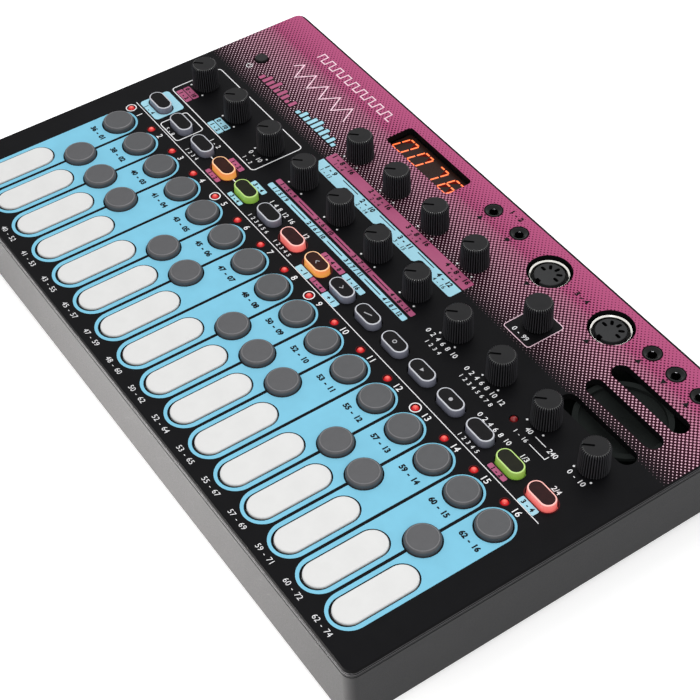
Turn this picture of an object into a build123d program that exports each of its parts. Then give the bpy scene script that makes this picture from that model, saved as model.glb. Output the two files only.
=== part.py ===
from build123d import *
import math
import os

# Desktop digital synthesizer, in millimetres.
# X runs to the player's right, Y to the rear and Z up, from the middle of the footprint on the table.

# Case
WIDTH = 297.0
DEPTH = 176.0
CORNER_RADIUS = 4.0
WALL = 2.4
WALL_DRAFT = 1.0
BOTTOM_CHAMFER = 1.2
COVER_THICKNESS = 3.0
COVER_CHAMFER = 0.5
EDGE_LINE_DROP = 1.2
EDGE_LINE_SIZE = 0.35
PARTING_GROOVE = 0.6
LIP_CLEARANCE = 0.25
LIP_THICKNESS = 1.4
LIP_DEPTH = 3.0
MOVING_CLEARANCE = 0.35

# Feet
FOOT_HEIGHT = 3.5
FOOT_RADIUS = 6.0
FOOT_RECESS = 0.6
FOOT_CHAMFER = 0.6
FOOT_INSET_X = 24.0
FOOT_INSET_Y = 14.0

# Battery bay for two rows of three cells
CELL_DIAMETER = 14.5
CELL_LENGTH = 50.5
CELL_CLEARANCE = 0.5
CELL_COLUMNS = 2
CELL_ROWS = 3
CONTACT_SPACE = 4.0
CONTACT_SIZE = 9.0
CONTACT_THICKNESS = 0.5
CONTACT_BUTTON_RADIUS = 2.6
CONTACT_BUTTON_HEIGHT = 1.4
BAY_WALL = 3.2
BAY_ROOF = 1.6
BAY_REAR_GAP = 1.6
DOOR_THICKNESS = 2.0
DOOR_LEDGE = 0.8
DOOR_TONGUE_REACH = 1.2
DOOR_GRIP_COUNT = 4
DOOR_GRIP_LENGTH = 22.0
DOOR_GRIP_WIDTH = 1.0
DOOR_GRIP_PITCH = 2.4
DOOR_GRIP_DEPTH = 0.5
DOOR_GRIP_INSET = 6.0

# Main board
BOARD_GAP = 1.8
BOARD_THICKNESS = 1.6
CONTROL_SPACE = 7.0
BOARD_EDGE_GAP = 0.9
BOARD_WALL_GAP = 1.2
SUPPORT_RADIUS = 1.5
POST_RADIUS = 2.6
CHIP_HEIGHT = 1.2
LARGE_CHIP_SIZE = 14.0
MEDIUM_CHIP_SIZE = 10.0
SMALL_CHIP_SIZE = 7.0

# Case screws
SCREW_SIDE_INSET = 8.5
SCREW_FRONT_INSET = 10.0
SCREW_REAR_INSET = 26.0
SCREW_RADIUS = 1.5
SCREW_HEAD_RADIUS = 2.8
SCREW_HEAD_HEIGHT = 2.2
SCREW_HEAD_DEPTH = 4.5
SCREW_ENGAGEMENT = 8.0
SCREW_CLEARANCE = 0.2
SCREW_THREAD_CLEARANCE = 0.05
BOSS_WALL = 1.6
BOSS_SPLIT_DROP = 13.0

# Keyboard, pads and buttons
COLUMNS = 16
SIDE_MARGIN = 14.65
FRONT_MARGIN = 8.3
WHITE_KEY_WIDTH = 11.2
WHITE_KEY_LENGTH = 32.2
PAD_DIAMETER = 12.9
KEY_TO_PAD_GAP = 2.25
PAD_TO_PAD_GAP = 9.8
PAD_TO_LAMP_GAP = 2.75
PAD_TO_BUTTON_GAP = 10.35
ACCIDENTAL_GAPS = (1, 2, 3, 5, 6, 8, 9, 10, 12, 13, 15)
WHITE_KEY_RISE = 0.6
PAD_RISE = 2.0
KEY_CHAMFER = 0.45
PAD_CHAMFER = 0.9
KEY_TRAVEL = 1.0
KEY_FLANGE_REACH = 0.9
KEY_FLANGE_THICKNESS = 1.2
STEM_RADIUS = 1.8
BUTTON_LENGTH = 12.9
BUTTON_WIDTH = 7.0
BUTTON_RISE = 2.8
BUTTON_CHAMFER = 0.4
POWER_DIAMETER = 5.6
POWER_RISE = 1.2
POWER_INSET_X = 18.3
POWER_INSET_Y = 32.4

# Switches under the keys
SWITCH_SIZE = 6.0
SWITCH_HEIGHT = 2.4
PLUNGER_SIZE = 2.4
PLUNGER_HEIGHT = 0.6
PLUNGER_GAP = 0.2

# Knobs and the controls that carry them
KNOB_RISE = 12.0
KNOB_GAP = 0.7
KNOB_BASE_RADIUS = 5.75
KNOB_TOP_RADIUS = 5.4
KNOB_EDGE = 0.9
KNOB_FLUTES = 36
KNOB_FLUTE_DEPTH = 0.35
KNOB_ROOF = 2.5
POINTER_WIDTH = 0.9
POINTER_DEPTH = 0.4
POINTER_AT_MINIMUM = 137.0
COLUMNS_PER_KNOB = 1.5
MIXER_KNOBS = 3
SOUND_KNOBS = 4
SINGLE_KNOBS = ("level_knob", "effect_knob", "tempo_knob", "volume_knob")
BUTTON_TO_KNOB_GAP = 13.15
KNOB_TO_KNOB_GAP = 15.4
KNOB_TO_DISPLAY_GAP = 9.15
SHAFT_RADIUS = 3.0
SHAFT_FLAT = 1.5
SHAFT_HOLE_CLEARANCE = 0.6
SHAFT_BOARD_GAP = 0.5
POT_WIDTH = 9.5
POT_DEPTH = 10.5
ENCODER_SIZE = 12.0
CONTROL_HEADROOM = 0.5
ENCODER_FROM_COLUMN = 4.25

# Lamps
LAMP_RADIUS = 1.5
LAMP_RISE = 0.7
LAMP_HOLE_CLEARANCE = 0.25
LAMP_LEFT_OF_COLUMN = 5.85
LAMP_FLANGE_RADIUS = 1.9
LAMP_FLANGE_HEIGHT = 1.0
LAMP_BODY_LENGTH = 4.6
LEAD_SIZE = 0.6
LEAD_PITCH = 1.5
TEMPO_LAMP_FROM_COLUMN = 1.05
TEMPO_LAMP_TO_KNOB = 8.3

# Display
DISPLAY_FROM_COLUMN = -8.25
DISPLAY_WIDTH = 42.2
DISPLAY_DEPTH = 13.2
DISPLAY_CORNER = 2.0
DISPLAY_CLEARANCE = 0.3
DISPLAY_SINK = 3.5
DISPLAY_INSET_Y = 13.0

# Sockets along the rear edge
JACK_INSET_Y = 9.8
SYNC_IN_FROM_COLUMN = -3.05
SYNC_OUT_FROM_COLUMN = -3.95
LINE_IN_FROM_COLUMN = 5.45
LINE_OUT_FROM_COLUMN = 1.05
PHONES_FROM_COLUMN = -3.35
JACK_BORE_RADIUS = 1.8
JACK_COLLAR_RADIUS = 3.5
JACK_BODY = 8.0
JACK_RISE = 0.2
JACK_BOARD_HOLE_CLEARANCE = 0.4
SOCKET_CLEARANCE = 0.3
MIDI_INSET_Y = 13.4
MIDI_IN_FROM_COLUMN = 2.25
MIDI_OUT_FROM_COLUMN = 4.05
MIDI_HOLE_RADIUS = 9.0
MIDI_SHIELD_RADIUS = 7.8
MIDI_SHIELD_WALL = 0.6
MIDI_SHIELD_SINK = 1.4
MIDI_INSERT_RADIUS = 6.0
MIDI_INSERT_SINK = 1.4
MIDI_BASE_HEIGHT = 3.5
MIDI_BASE_SIZE = 17.0
MIDI_PIN_CIRCLE = 3.75
MIDI_PIN_RADIUS = 0.9
MIDI_PIN_DEPTH = 3.0
MIDI_PIN_COUNT = 5
MIDI_KEY_WIDTH = 2.2
MIDI_KEY_DEPTH = 1.2
INLET_INSET_X = 10.5
INLET_BORE_RADIUS = 2.95
INLET_PIN_RADIUS = 1.0
INLET_COLLAR_RADIUS = 4.2
INLET_DEPTH = 9.0
INLET_BODY = 9.0

# Speaker, in the room between the lower controls and the jacks
SPEAKER_INSET_X = 33.0
SPEAKER_CLEARANCE = 3.2
SPEAKER_SHIFT = 1.9
SPEAKER_RIM = 2.2
SPEAKER_FRAME = 1.5
SPEAKER_CONE_DROP = 2.6
SPEAKER_CAP_RADIUS = 4.5
SPEAKER_CAP_RISE = 1.0
SPEAKER_MAGNET_RADIUS = 9.0
SPEAKER_HEIGHT = 6.4
SLOT_COUNT = 3
SLOT_LENGTH = 38.0
SLOT_BAR = 4.35

# Levels, from the table up
CASE_BOTTOM = FOOT_HEIGHT
FLOOR_TOP = CASE_BOTTOM + DOOR_THICKNESS
BAY_TOP = FLOOR_TOP + CELL_DIAMETER + 2 * CELL_CLEARANCE
BOARD_BOTTOM = BAY_TOP + BAY_ROOF + BOARD_GAP
BOARD_TOP = BOARD_BOTTOM + BOARD_THICKNESS
COVER_UNDERSIDE = BOARD_TOP + CONTROL_SPACE
PANEL = COVER_UNDERSIDE + COVER_THICKNESS
PLUNGER_TOP = BOARD_TOP + SWITCH_HEIGHT + PLUNGER_HEIGHT
FLANGE_TOP = COVER_UNDERSIDE - MOVING_CLEARANCE
FLANGE_BOTTOM = FLANGE_TOP - KEY_FLANGE_THICKNESS
STEM_BOTTOM = PLUNGER_TOP + KEY_TRAVEL + PLUNGER_GAP
BOSS_SPLIT = COVER_UNDERSIDE - BOSS_SPLIT_DROP

# Rows, from the front edge back; the gaps between them share out the depth that the controls leave free
KEY_ROW = -DEPTH / 2 + FRONT_MARGIN + WHITE_KEY_LENGTH / 2
DISPLAY_ROW = DEPTH / 2 - DISPLAY_INSET_Y
ROW_GAPS = PAD_TO_PAD_GAP + PAD_TO_BUTTON_GAP + BUTTON_TO_KNOB_GAP + KNOB_TO_KNOB_GAP + KNOB_TO_DISPLAY_GAP
ROW_SIZES = KEY_TO_PAD_GAP + 2 * PAD_DIAMETER + BUTTON_WIDTH + 4 * KNOB_BASE_RADIUS
ROWS_FRONT = KEY_ROW + WHITE_KEY_LENGTH / 2
ROWS_REAR = DISPLAY_ROW - DISPLAY_DEPTH / 2
GAP_SCALE = (ROWS_REAR - ROWS_FRONT - ROW_SIZES) / ROW_GAPS
ACCIDENTAL_ROW = ROWS_FRONT + KEY_TO_PAD_GAP + PAD_DIAMETER / 2
STEP_ROW = ACCIDENTAL_ROW + PAD_DIAMETER + GAP_SCALE * PAD_TO_PAD_GAP
LAMP_ROW = STEP_ROW + PAD_DIAMETER / 2 + GAP_SCALE * PAD_TO_LAMP_GAP
BUTTON_ROW = STEP_ROW + PAD_DIAMETER / 2 + GAP_SCALE * PAD_TO_BUTTON_GAP + BUTTON_WIDTH / 2
LOWER_KNOB_ROW = BUTTON_ROW + BUTTON_WIDTH / 2 + GAP_SCALE * BUTTON_TO_KNOB_GAP + KNOB_BASE_RADIUS
UPPER_KNOB_ROW = LOWER_KNOB_ROW + 2 * KNOB_BASE_RADIUS + GAP_SCALE * KNOB_TO_KNOB_GAP
JACK_ROW = DEPTH / 2 - JACK_INSET_Y
MIDI_ROW = DEPTH / 2 - MIDI_INSET_Y

# Columns, spread over the width between the side margins
COLUMN_PITCH = (WIDTH - 2 * SIDE_MARGIN - WHITE_KEY_WIDTH) / (COLUMNS - 1)
COLUMN_X = [(i - (COLUMNS - 1) / 2) * COLUMN_PITCH for i in range(COLUMNS)]
KNOB_PITCH = COLUMN_PITCH * COLUMNS_PER_KNOB
LOWER_KNOBS = MIXER_KNOBS + SOUND_KNOBS + len(SINGLE_KNOBS)
ACCIDENTAL_X = [COLUMN_X[0] + (gap - 0.5) * COLUMN_PITCH for gap in ACCIDENTAL_GAPS]
LOWER_KNOB_X = [COLUMN_X[0] + i * KNOB_PITCH for i in range(LOWER_KNOBS)]
UPPER_KNOB_X = LOWER_KNOB_X[MIXER_KNOBS:MIXER_KNOBS + SOUND_KNOBS]
ENCODER_X = COLUMN_X[11] + ENCODER_FROM_COLUMN
DISPLAY_X = COLUMN_X[6] + DISPLAY_FROM_COLUMN
JACK_X = [
    COLUMN_X[8] + SYNC_IN_FROM_COLUMN,
    COLUMN_X[9] + SYNC_OUT_FROM_COLUMN,
    COLUMN_X[13] + LINE_IN_FROM_COLUMN,
    COLUMN_X[14] + LINE_OUT_FROM_COLUMN,
    COLUMN_X[15] + PHONES_FROM_COLUMN,
]
MIDI_X = [COLUMN_X[10] + MIDI_IN_FROM_COLUMN, COLUMN_X[12] + MIDI_OUT_FROM_COLUMN]

# Speaker and its slots, spread over the speaker's mouth
SPEAKER_FRONT = LOWER_KNOB_ROW + POT_DEPTH / 2 + SPEAKER_CLEARANCE
SPEAKER_REAR = JACK_ROW - JACK_BODY / 2 - SPEAKER_CLEARANCE
SPEAKER_RADIUS = (SPEAKER_REAR - SPEAKER_FRONT) / 2
SPEAKER_ROW = (SPEAKER_FRONT + SPEAKER_REAR) / 2 - SPEAKER_SHIFT
SPEAKER_X = WIDTH / 2 - SPEAKER_INSET_X
MOUTH_RADIUS = SPEAKER_RADIUS - SPEAKER_RIM
SLOT_WIDTH = (2 * MOUTH_RADIUS - (SLOT_COUNT - 1) * SLOT_BAR) / SLOT_COUNT
SLOT_PITCH = SLOT_WIDTH + SLOT_BAR
SLOT_PLACES = [(SPEAKER_X, SPEAKER_ROW + (i - (SLOT_COUNT - 1) / 2) * SLOT_PITCH) for i in range(SLOT_COUNT)]

# Places that several pieces share
WHITE_KEY_PLACES = [(x, KEY_ROW) for x in COLUMN_X]
ACCIDENTAL_PLACES = [(x, ACCIDENTAL_ROW) for x in ACCIDENTAL_X]
STEP_PLACES = [(x, STEP_ROW) for x in COLUMN_X]
BUTTON_PLACES = [(x, BUTTON_ROW) for x in COLUMN_X]
POWER_PLACE = (-WIDTH / 2 + POWER_INSET_X, DEPTH / 2 - POWER_INSET_Y)
LAMP_PLACES = [(x - LAMP_LEFT_OF_COLUMN, LAMP_ROW) for x in COLUMN_X]
LAMP_PLACES.append((COLUMN_X[13] + TEMPO_LAMP_FROM_COLUMN, LOWER_KNOB_ROW - TEMPO_LAMP_TO_KNOB))
POT_PLACES = [(x, LOWER_KNOB_ROW) for x in LOWER_KNOB_X] + [(x, UPPER_KNOB_ROW) for x in UPPER_KNOB_X]
ENCODER_PLACE = (ENCODER_X, UPPER_KNOB_ROW)
JACK_PLACES = [(x, JACK_ROW) for x in JACK_X]
MIDI_PLACES = [(x, MIDI_ROW) for x in MIDI_X]
INLET_PLACE = (WIDTH / 2 - INLET_INSET_X, JACK_ROW)
SCREW_X = WIDTH / 2 - SCREW_SIDE_INSET
SCREW_FRONT = -DEPTH / 2 + SCREW_FRONT_INSET
SCREW_REAR = DEPTH / 2 - SCREW_REAR_INSET
SCREW_ROWS = (SCREW_FRONT, (SCREW_FRONT + SCREW_REAR) / 2, SCREW_REAR)
SCREW_PLACES = [(side * SCREW_X, y) for side in (-1, 1) for y in SCREW_ROWS]
FOOT_PLACES = [
    (side * (WIDTH / 2 - FOOT_INSET_X), end * (DEPTH / 2 - FOOT_INSET_Y))
    for side in (-1, 1)
    for end in (-1, 1)
]
LEFT_SUPPORT_X = (COLUMN_X[1] + COLUMN_X[2]) / 2
RIGHT_SUPPORT_X = -LEFT_SUPPORT_X
SUPPORT_PLACES = [
    (LEFT_SUPPORT_X, KEY_ROW),
    (0, KEY_ROW),
    (RIGHT_SUPPORT_X, KEY_ROW),
    (0, (BUTTON_ROW + LOWER_KNOB_ROW) / 2),
    (LEFT_SUPPORT_X, UPPER_KNOB_ROW),
    ((ENCODER_X + SPEAKER_X - SPEAKER_RADIUS) / 2, UPPER_KNOB_ROW),
]
CHIP_PLACES = [
    (LARGE_CHIP_SIZE, COLUMN_X[2], (LOWER_KNOB_ROW + UPPER_KNOB_ROW) / 2),
    (MEDIUM_CHIP_SIZE, COLUMN_X[3], (UPPER_KNOB_ROW + DISPLAY_ROW) / 2),
    (SMALL_CHIP_SIZE, COLUMN_X[1], (UPPER_KNOB_ROW + DISPLAY_ROW) / 2),
]

# Battery bay, against the rear wall
BAY_WIDTH = CELL_COLUMNS * CELL_LENGTH + 2 * CONTACT_SPACE
BAY_LENGTH = CELL_ROWS * (CELL_DIAMETER + CELL_CLEARANCE) + CELL_CLEARANCE
BAY_REAR = DEPTH / 2 - WALL_DRAFT - WALL - BAY_REAR_GAP
BAY_FRONT = BAY_REAR - BAY_LENGTH
GROOVE_BOTTOM = CASE_BOTTOM + DOOR_LEDGE
GROOVE_TOP = FLOOR_TOP + MOVING_CLEARANCE
DOOR_REAR = DEPTH / 2 - WALL_DRAFT

PASS = 1.0
ON_BASE = (Align.CENTER, Align.CENTER, Align.MIN)


def prism(outline, bottom, top):
    """A flat outline raised from one level to another."""
    return Pos(0, 0, bottom) * extrude(outline, top - bottom)


def spread(outline, places):
    """Copies of a flat outline at several places."""
    return Sketch() + [Pos(x, y) * outline for x, y in places]


def slab(x_low, x_high, y_low, y_high, bottom, top):
    """A box between six planes."""
    middle = Pos((x_low + x_high) / 2, (y_low + y_high) / 2, bottom)
    return middle * Box(x_high - x_low, y_high - y_low, top - bottom, align=ON_BASE)


def key_slot(reach=0.0):
    """Outline of a white key, long axis towards the player."""
    return SlotOverall(WHITE_KEY_LENGTH + 2 * reach, WHITE_KEY_WIDTH + 2 * reach, rotation=90)


def pad_disc(reach=0.0):
    """Outline of a round pad."""
    return Circle(PAD_DIAMETER / 2 + reach)


def button_slot(reach=0.0):
    """Outline of a function button, long axis across the panel."""
    return SlotOverall(BUTTON_LENGTH + 2 * reach, BUTTON_WIDTH + 2 * reach)


def power_disc(reach=0.0):
    """Outline of the power button."""
    return Circle(POWER_DIAMETER / 2 + reach)


def cap(outline, rise, edge, place):
    """A key cap with a bevelled top, a flange held under the cover and a stem over its switch."""
    body = prism(outline(), FLANGE_TOP, PANEL + rise)
    body = chamfer(body.faces().sort_by(Axis.Z)[-1].edges(), edge)
    body += prism(outline(KEY_FLANGE_REACH), FLANGE_BOTTOM, FLANGE_TOP)
    body += prism(Circle(STEM_RADIUS), STEM_BOTTOM, FLANGE_BOTTOM)
    return Pos(*place) * body


def case_outline(inset, level):
    """The drafted case's outline at one level, drawn in from the outside by an inset."""
    height = COVER_UNDERSIDE - CASE_BOTTOM
    drawn_in = inset + WALL_DRAFT * (COVER_UNDERSIDE - level) / height
    corner = CORNER_RADIUS - min(inset, WALL)
    return Pos(0, 0, level) * RectangleRounded(WIDTH - 2 * drawn_in, DEPTH - 2 * drawn_in, corner)


def edge_ring(inset, bottom, top):
    """A band around the case's edge, as a cutter that reaches in by an inset."""
    outside = Rectangle(WIDTH + 2 * PASS, DEPTH + 2 * PASS)
    inside = RectangleRounded(WIDTH - 2 * inset, DEPTH - 2 * inset, CORNER_RADIUS)
    return prism(outside - inside, bottom, top)


def bottom_case():
    """Lower shell with the battery bay, screw bosses and board posts."""
    outside = [
        case_outline(BOTTOM_CHAMFER, CASE_BOTTOM),
        case_outline(0, CASE_BOTTOM + BOTTOM_CHAMFER),
        case_outline(0, COVER_UNDERSIDE),
    ]
    body = loft(outside, ruled=True)
    body -= loft([case_outline(WALL, FLOOR_TOP), case_outline(WALL, COVER_UNDERSIDE)], ruled=True)
    body -= edge_ring(PARTING_GROOVE, COVER_UNDERSIDE - PARTING_GROOVE, COVER_UNDERSIDE + PASS)

    half = BAY_WIDTH / 2
    bay_side = half + BAY_WALL
    bay_top = BAY_TOP + BAY_ROOF
    body += slab(-bay_side, bay_side, BAY_FRONT - BAY_WALL, DOOR_REAR - WALL, FLOOR_TOP, bay_top)
    body += prism(spread(Circle(SCREW_HEAD_RADIUS + BOSS_WALL), SCREW_PLACES), FLOOR_TOP, BOSS_SPLIT)
    body += prism(spread(Circle(POST_RADIUS), SUPPORT_PLACES), FLOOR_TOP, BOARD_BOTTOM)

    body -= slab(-half, half, BAY_FRONT, BAY_REAR, CASE_BOTTOM - PASS, BAY_TOP)
    body -= slab(-half, half, BAY_FRONT, DEPTH / 2 + PASS, CASE_BOTTOM - PASS, GROOVE_TOP)
    groove = half + DOOR_TONGUE_REACH + MOVING_CLEARANCE
    body -= slab(-groove, groove, BAY_FRONT, DEPTH / 2 + PASS, GROOVE_BOTTOM, GROOVE_TOP)

    head_seat = CASE_BOTTOM + SCREW_HEAD_DEPTH
    head_hole = Circle(SCREW_HEAD_RADIUS + SCREW_CLEARANCE)
    body -= prism(spread(head_hole, SCREW_PLACES), CASE_BOTTOM - PASS, head_seat)
    shank_hole = Circle(SCREW_RADIUS + SCREW_CLEARANCE)
    body -= prism(spread(shank_hole, SCREW_PLACES), head_seat, BOSS_SPLIT + PASS)
    body -= prism(spread(Circle(FOOT_RADIUS), FOOT_PLACES), CASE_BOTTOM - PASS, CASE_BOTTOM + FOOT_RECESS)
    return body


def panel_holes():
    """Every opening in the cover, as flat outlines."""
    holes = spread(key_slot(MOVING_CLEARANCE), WHITE_KEY_PLACES)
    holes += spread(pad_disc(MOVING_CLEARANCE), ACCIDENTAL_PLACES + STEP_PLACES)
    holes += spread(button_slot(MOVING_CLEARANCE), BUTTON_PLACES)
    holes += spread(power_disc(MOVING_CLEARANCE), [POWER_PLACE])
    holes += spread(Circle(SHAFT_RADIUS + SHAFT_HOLE_CLEARANCE), POT_PLACES + [ENCODER_PLACE])
    holes += spread(Circle(LAMP_RADIUS + LAMP_HOLE_CLEARANCE), LAMP_PLACES)
    holes += spread(Circle(JACK_COLLAR_RADIUS + SOCKET_CLEARANCE), JACK_PLACES)
    holes += spread(Circle(INLET_COLLAR_RADIUS + SOCKET_CLEARANCE), [INLET_PLACE])
    holes += spread(Circle(MIDI_HOLE_RADIUS), MIDI_PLACES)
    window = RectangleRounded(DISPLAY_WIDTH, DISPLAY_DEPTH, DISPLAY_CORNER)
    holes += spread(window, [(DISPLAY_X, DISPLAY_ROW)])
    holes += spread(SlotOverall(SLOT_LENGTH, SLOT_WIDTH), SLOT_PLACES)
    return holes


def top_cover():
    """Printed panel with its openings, the lip inside the case walls, screw bosses and board supports."""
    body = prism(RectangleRounded(WIDTH, DEPTH, CORNER_RADIUS), COVER_UNDERSIDE, PANEL)
    body = chamfer(body.faces().sort_by(Axis.Z)[-1].edges(), COVER_CHAMFER)
    line = PANEL - EDGE_LINE_DROP
    body -= edge_ring(EDGE_LINE_SIZE, line - EDGE_LINE_SIZE, line)
    body -= prism(panel_holes(), COVER_UNDERSIDE - PASS, PANEL + PASS)

    outside = WALL + LIP_CLEARANCE
    inside = outside + LIP_THICKNESS
    lip = RectangleRounded(WIDTH - 2 * outside, DEPTH - 2 * outside, CORNER_RADIUS - WALL)
    lip -= Rectangle(WIDTH - 2 * inside, DEPTH - 2 * inside)
    body += prism(lip, COVER_UNDERSIDE - LIP_DEPTH, COVER_UNDERSIDE)
    body += prism(spread(Circle(SCREW_RADIUS + BOSS_WALL), SCREW_PLACES), BOSS_SPLIT, COVER_UNDERSIDE)
    body += prism(spread(Circle(SUPPORT_RADIUS), SUPPORT_PLACES), BOARD_TOP, COVER_UNDERSIDE)
    pilot = Circle(SCREW_RADIUS + SCREW_THREAD_CLEARANCE)
    body -= prism(spread(pilot, SCREW_PLACES), BOSS_SPLIT - PASS, BOSS_SPLIT + SCREW_ENGAGEMENT + PASS)
    return body


def battery_door():
    """Sliding lid under the battery bay, with side tongues in the case's grooves and a grip."""
    half = BAY_WIDTH / 2 - MOVING_CLEARANCE
    front = BAY_FRONT + MOVING_CLEARANCE
    body = slab(-half, half, front, DOOR_REAR, CASE_BOTTOM, FLOOR_TOP)
    tongue = BAY_WIDTH / 2 + DOOR_TONGUE_REACH
    body += slab(-tongue, tongue, front, DOOR_REAR, GROOVE_BOTTOM + MOVING_CLEARANCE, FLOOR_TOP)
    grips = [(0, DOOR_REAR - DOOR_GRIP_INSET - i * DOOR_GRIP_PITCH) for i in range(DOOR_GRIP_COUNT)]
    grip = SlotOverall(DOOR_GRIP_LENGTH, DOOR_GRIP_WIDTH)
    body -= prism(spread(grip, grips), CASE_BOTTOM - PASS, CASE_BOTTOM + DOOR_GRIP_DEPTH)
    return body


def battery_contacts():
    """Contact plates at both ends of each pair of cells, each with a raised button."""
    plates = []
    for row in range(CELL_ROWS):
        y = BAY_FRONT + CELL_CLEARANCE + CELL_DIAMETER / 2 + row * (CELL_DIAMETER + CELL_CLEARANCE)
        z = FLOOR_TOP + CELL_CLEARANCE + CELL_DIAMETER / 2
        for side in (-1, 1):
            wall = Plane(origin=(side * BAY_WIDTH / 2, y, z), x_dir=(0, 1, 0), z_dir=(-side, 0, 0))
            plate = extrude(wall * Rectangle(CONTACT_SIZE, CONTACT_SIZE), CONTACT_THICKNESS)
            button_height = CONTACT_THICKNESS + CONTACT_BUTTON_HEIGHT
            plate += extrude(wall * Circle(CONTACT_BUTTON_RADIUS), button_height)
            plates.append(plate)
    return plates


def main_board():
    """Circuit board between the posts and the supports, with its main chips."""
    half_width = SCREW_X - SCREW_HEAD_RADIUS - BOSS_WALL - BOARD_EDGE_GAP
    half_depth = DEPTH / 2 - WALL - WALL_DRAFT - BOARD_WALL_GAP
    board = Rectangle(2 * half_width, 2 * half_depth)
    tips = spread(Circle(JACK_BORE_RADIUS + JACK_BOARD_HOLE_CLEARANCE), JACK_PLACES)
    plate = prism(board - tips, BOARD_BOTTOM, BOARD_TOP)
    chips = []
    for size, x, y in CHIP_PLACES:
        chips.append(Pos(x, y, BOARD_TOP) * Box(size, size, CHIP_HEIGHT, align=ON_BASE))
    return [plate] + chips


def key_switches():
    """One push switch under every key, pad and button."""
    places = WHITE_KEY_PLACES + ACCIDENTAL_PLACES + STEP_PLACES + BUTTON_PLACES + [POWER_PLACE]
    switch = Box(SWITCH_SIZE, SWITCH_SIZE, SWITCH_HEIGHT, align=ON_BASE)
    switch += Pos(0, 0, SWITCH_HEIGHT) * Box(PLUNGER_SIZE, PLUNGER_SIZE, PLUNGER_HEIGHT, align=ON_BASE)
    return [Pos(x, y, BOARD_TOP) * switch for x, y in places]


def potentiometers():
    """Control bodies on the board, each bored for its shaft."""
    top = COVER_UNDERSIDE - CONTROL_HEADROOM
    bore = Circle(SHAFT_RADIUS + MOVING_CLEARANCE)
    pot = prism(Rectangle(POT_WIDTH, POT_DEPTH) - bore, BOARD_TOP, top)
    encoder = prism(Rectangle(ENCODER_SIZE, ENCODER_SIZE) - bore, BOARD_TOP, top)
    return [Pos(*place) * pot for place in POT_PLACES] + [Pos(*ENCODER_PLACE) * encoder]


def fluted_disc(radius, level):
    """A toothed outline at one level, its points on the given radius."""
    points = []
    for i in range(2 * KNOB_FLUTES):
        angle = math.pi * i / KNOB_FLUTES
        reach = radius if i % 2 == 0 else radius - KNOB_FLUTE_DEPTH
        points.append((reach * math.cos(angle), reach * math.sin(angle)))
    return Pos(0, 0, level) * Polygon(*points, align=None)


def knob(place, pointer):
    """A fluted knob, with a pointer groove at the lowest setting if it has one, and its flatted shaft."""
    bottom = PANEL + KNOB_GAP
    top = PANEL + KNOB_RISE
    sections = [
        fluted_disc(KNOB_BASE_RADIUS, bottom),
        fluted_disc(KNOB_TOP_RADIUS, top - KNOB_EDGE),
        fluted_disc(KNOB_TOP_RADIUS - KNOB_EDGE, top),
    ]
    shell = loft(sections, ruled=True)
    shaft_outline = Circle(SHAFT_RADIUS) - Pos(0, SHAFT_FLAT + SHAFT_RADIUS) * Rectangle(
        2 * SHAFT_RADIUS, 2 * SHAFT_RADIUS
    )
    shaft = prism(shaft_outline, BOARD_TOP + SHAFT_BOARD_GAP, top - KNOB_ROOF)
    shell -= shaft
    if pointer:
        side = POINTER_WIDTH / 2
        groove = slab(-side, side, 0, KNOB_BASE_RADIUS, top - POINTER_DEPTH, top + PASS)
        shell -= Rot(0, 0, POINTER_AT_MINIMUM) * groove
    return [Pos(*place) * shell, Pos(*place) * shaft]


def step_lamps():
    """Domed lamps on their leads, one beside each step pad and one for the tempo."""
    dome_base = PANEL + LAMP_RISE - LAMP_RADIUS
    flange_top = dome_base - LAMP_BODY_LENGTH + LAMP_FLANGE_HEIGHT
    flange_bottom = flange_top - LAMP_FLANGE_HEIGHT
    lamp = prism(Circle(LAMP_RADIUS), flange_top, dome_base)
    lamp += Pos(0, 0, dome_base) * (
        Sphere(LAMP_RADIUS) & Cylinder(LAMP_RADIUS, LAMP_RADIUS, align=ON_BASE)
    )
    lamp += prism(Circle(LAMP_FLANGE_RADIUS), flange_bottom, flange_top)
    leads = spread(Rectangle(LEAD_SIZE, LEAD_SIZE), [(-LEAD_PITCH / 2, 0), (LEAD_PITCH / 2, 0)])
    lamp += prism(leads, BOARD_TOP, flange_bottom)
    return [Pos(*place) * lamp for place in LAMP_PLACES]


def display_module():
    """Four-character lamp display, sunk in the panel's window."""
    face = Rectangle(DISPLAY_WIDTH - 2 * DISPLAY_CLEARANCE, DISPLAY_DEPTH - 2 * DISPLAY_CLEARANCE)
    return Pos(DISPLAY_X, DISPLAY_ROW) * prism(face, BOARD_TOP, PANEL - DISPLAY_SINK)


def speaker():
    """Small round speaker under the panel slots: a rim, a dished cone with its dust cap, and the magnet."""
    frame_bottom = COVER_UNDERSIDE - SPEAKER_FRAME
    cone_bottom = frame_bottom - SPEAKER_CONE_DROP
    magnet_bottom = COVER_UNDERSIDE - SPEAKER_HEIGHT
    profile = Polygon(
        (0, magnet_bottom),
        (SPEAKER_MAGNET_RADIUS, magnet_bottom),
        (SPEAKER_MAGNET_RADIUS, cone_bottom - SPEAKER_FRAME),
        (SPEAKER_RADIUS, frame_bottom),
        (SPEAKER_RADIUS, COVER_UNDERSIDE),
        (MOUTH_RADIUS, COVER_UNDERSIDE),
        (MOUTH_RADIUS, frame_bottom),
        (SPEAKER_CAP_RADIUS, cone_bottom),
        (0, cone_bottom + SPEAKER_CAP_RISE),
        align=None,
    )
    return Pos(SPEAKER_X, SPEAKER_ROW) * revolve(Plane.XZ * profile, Axis.Z)


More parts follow.
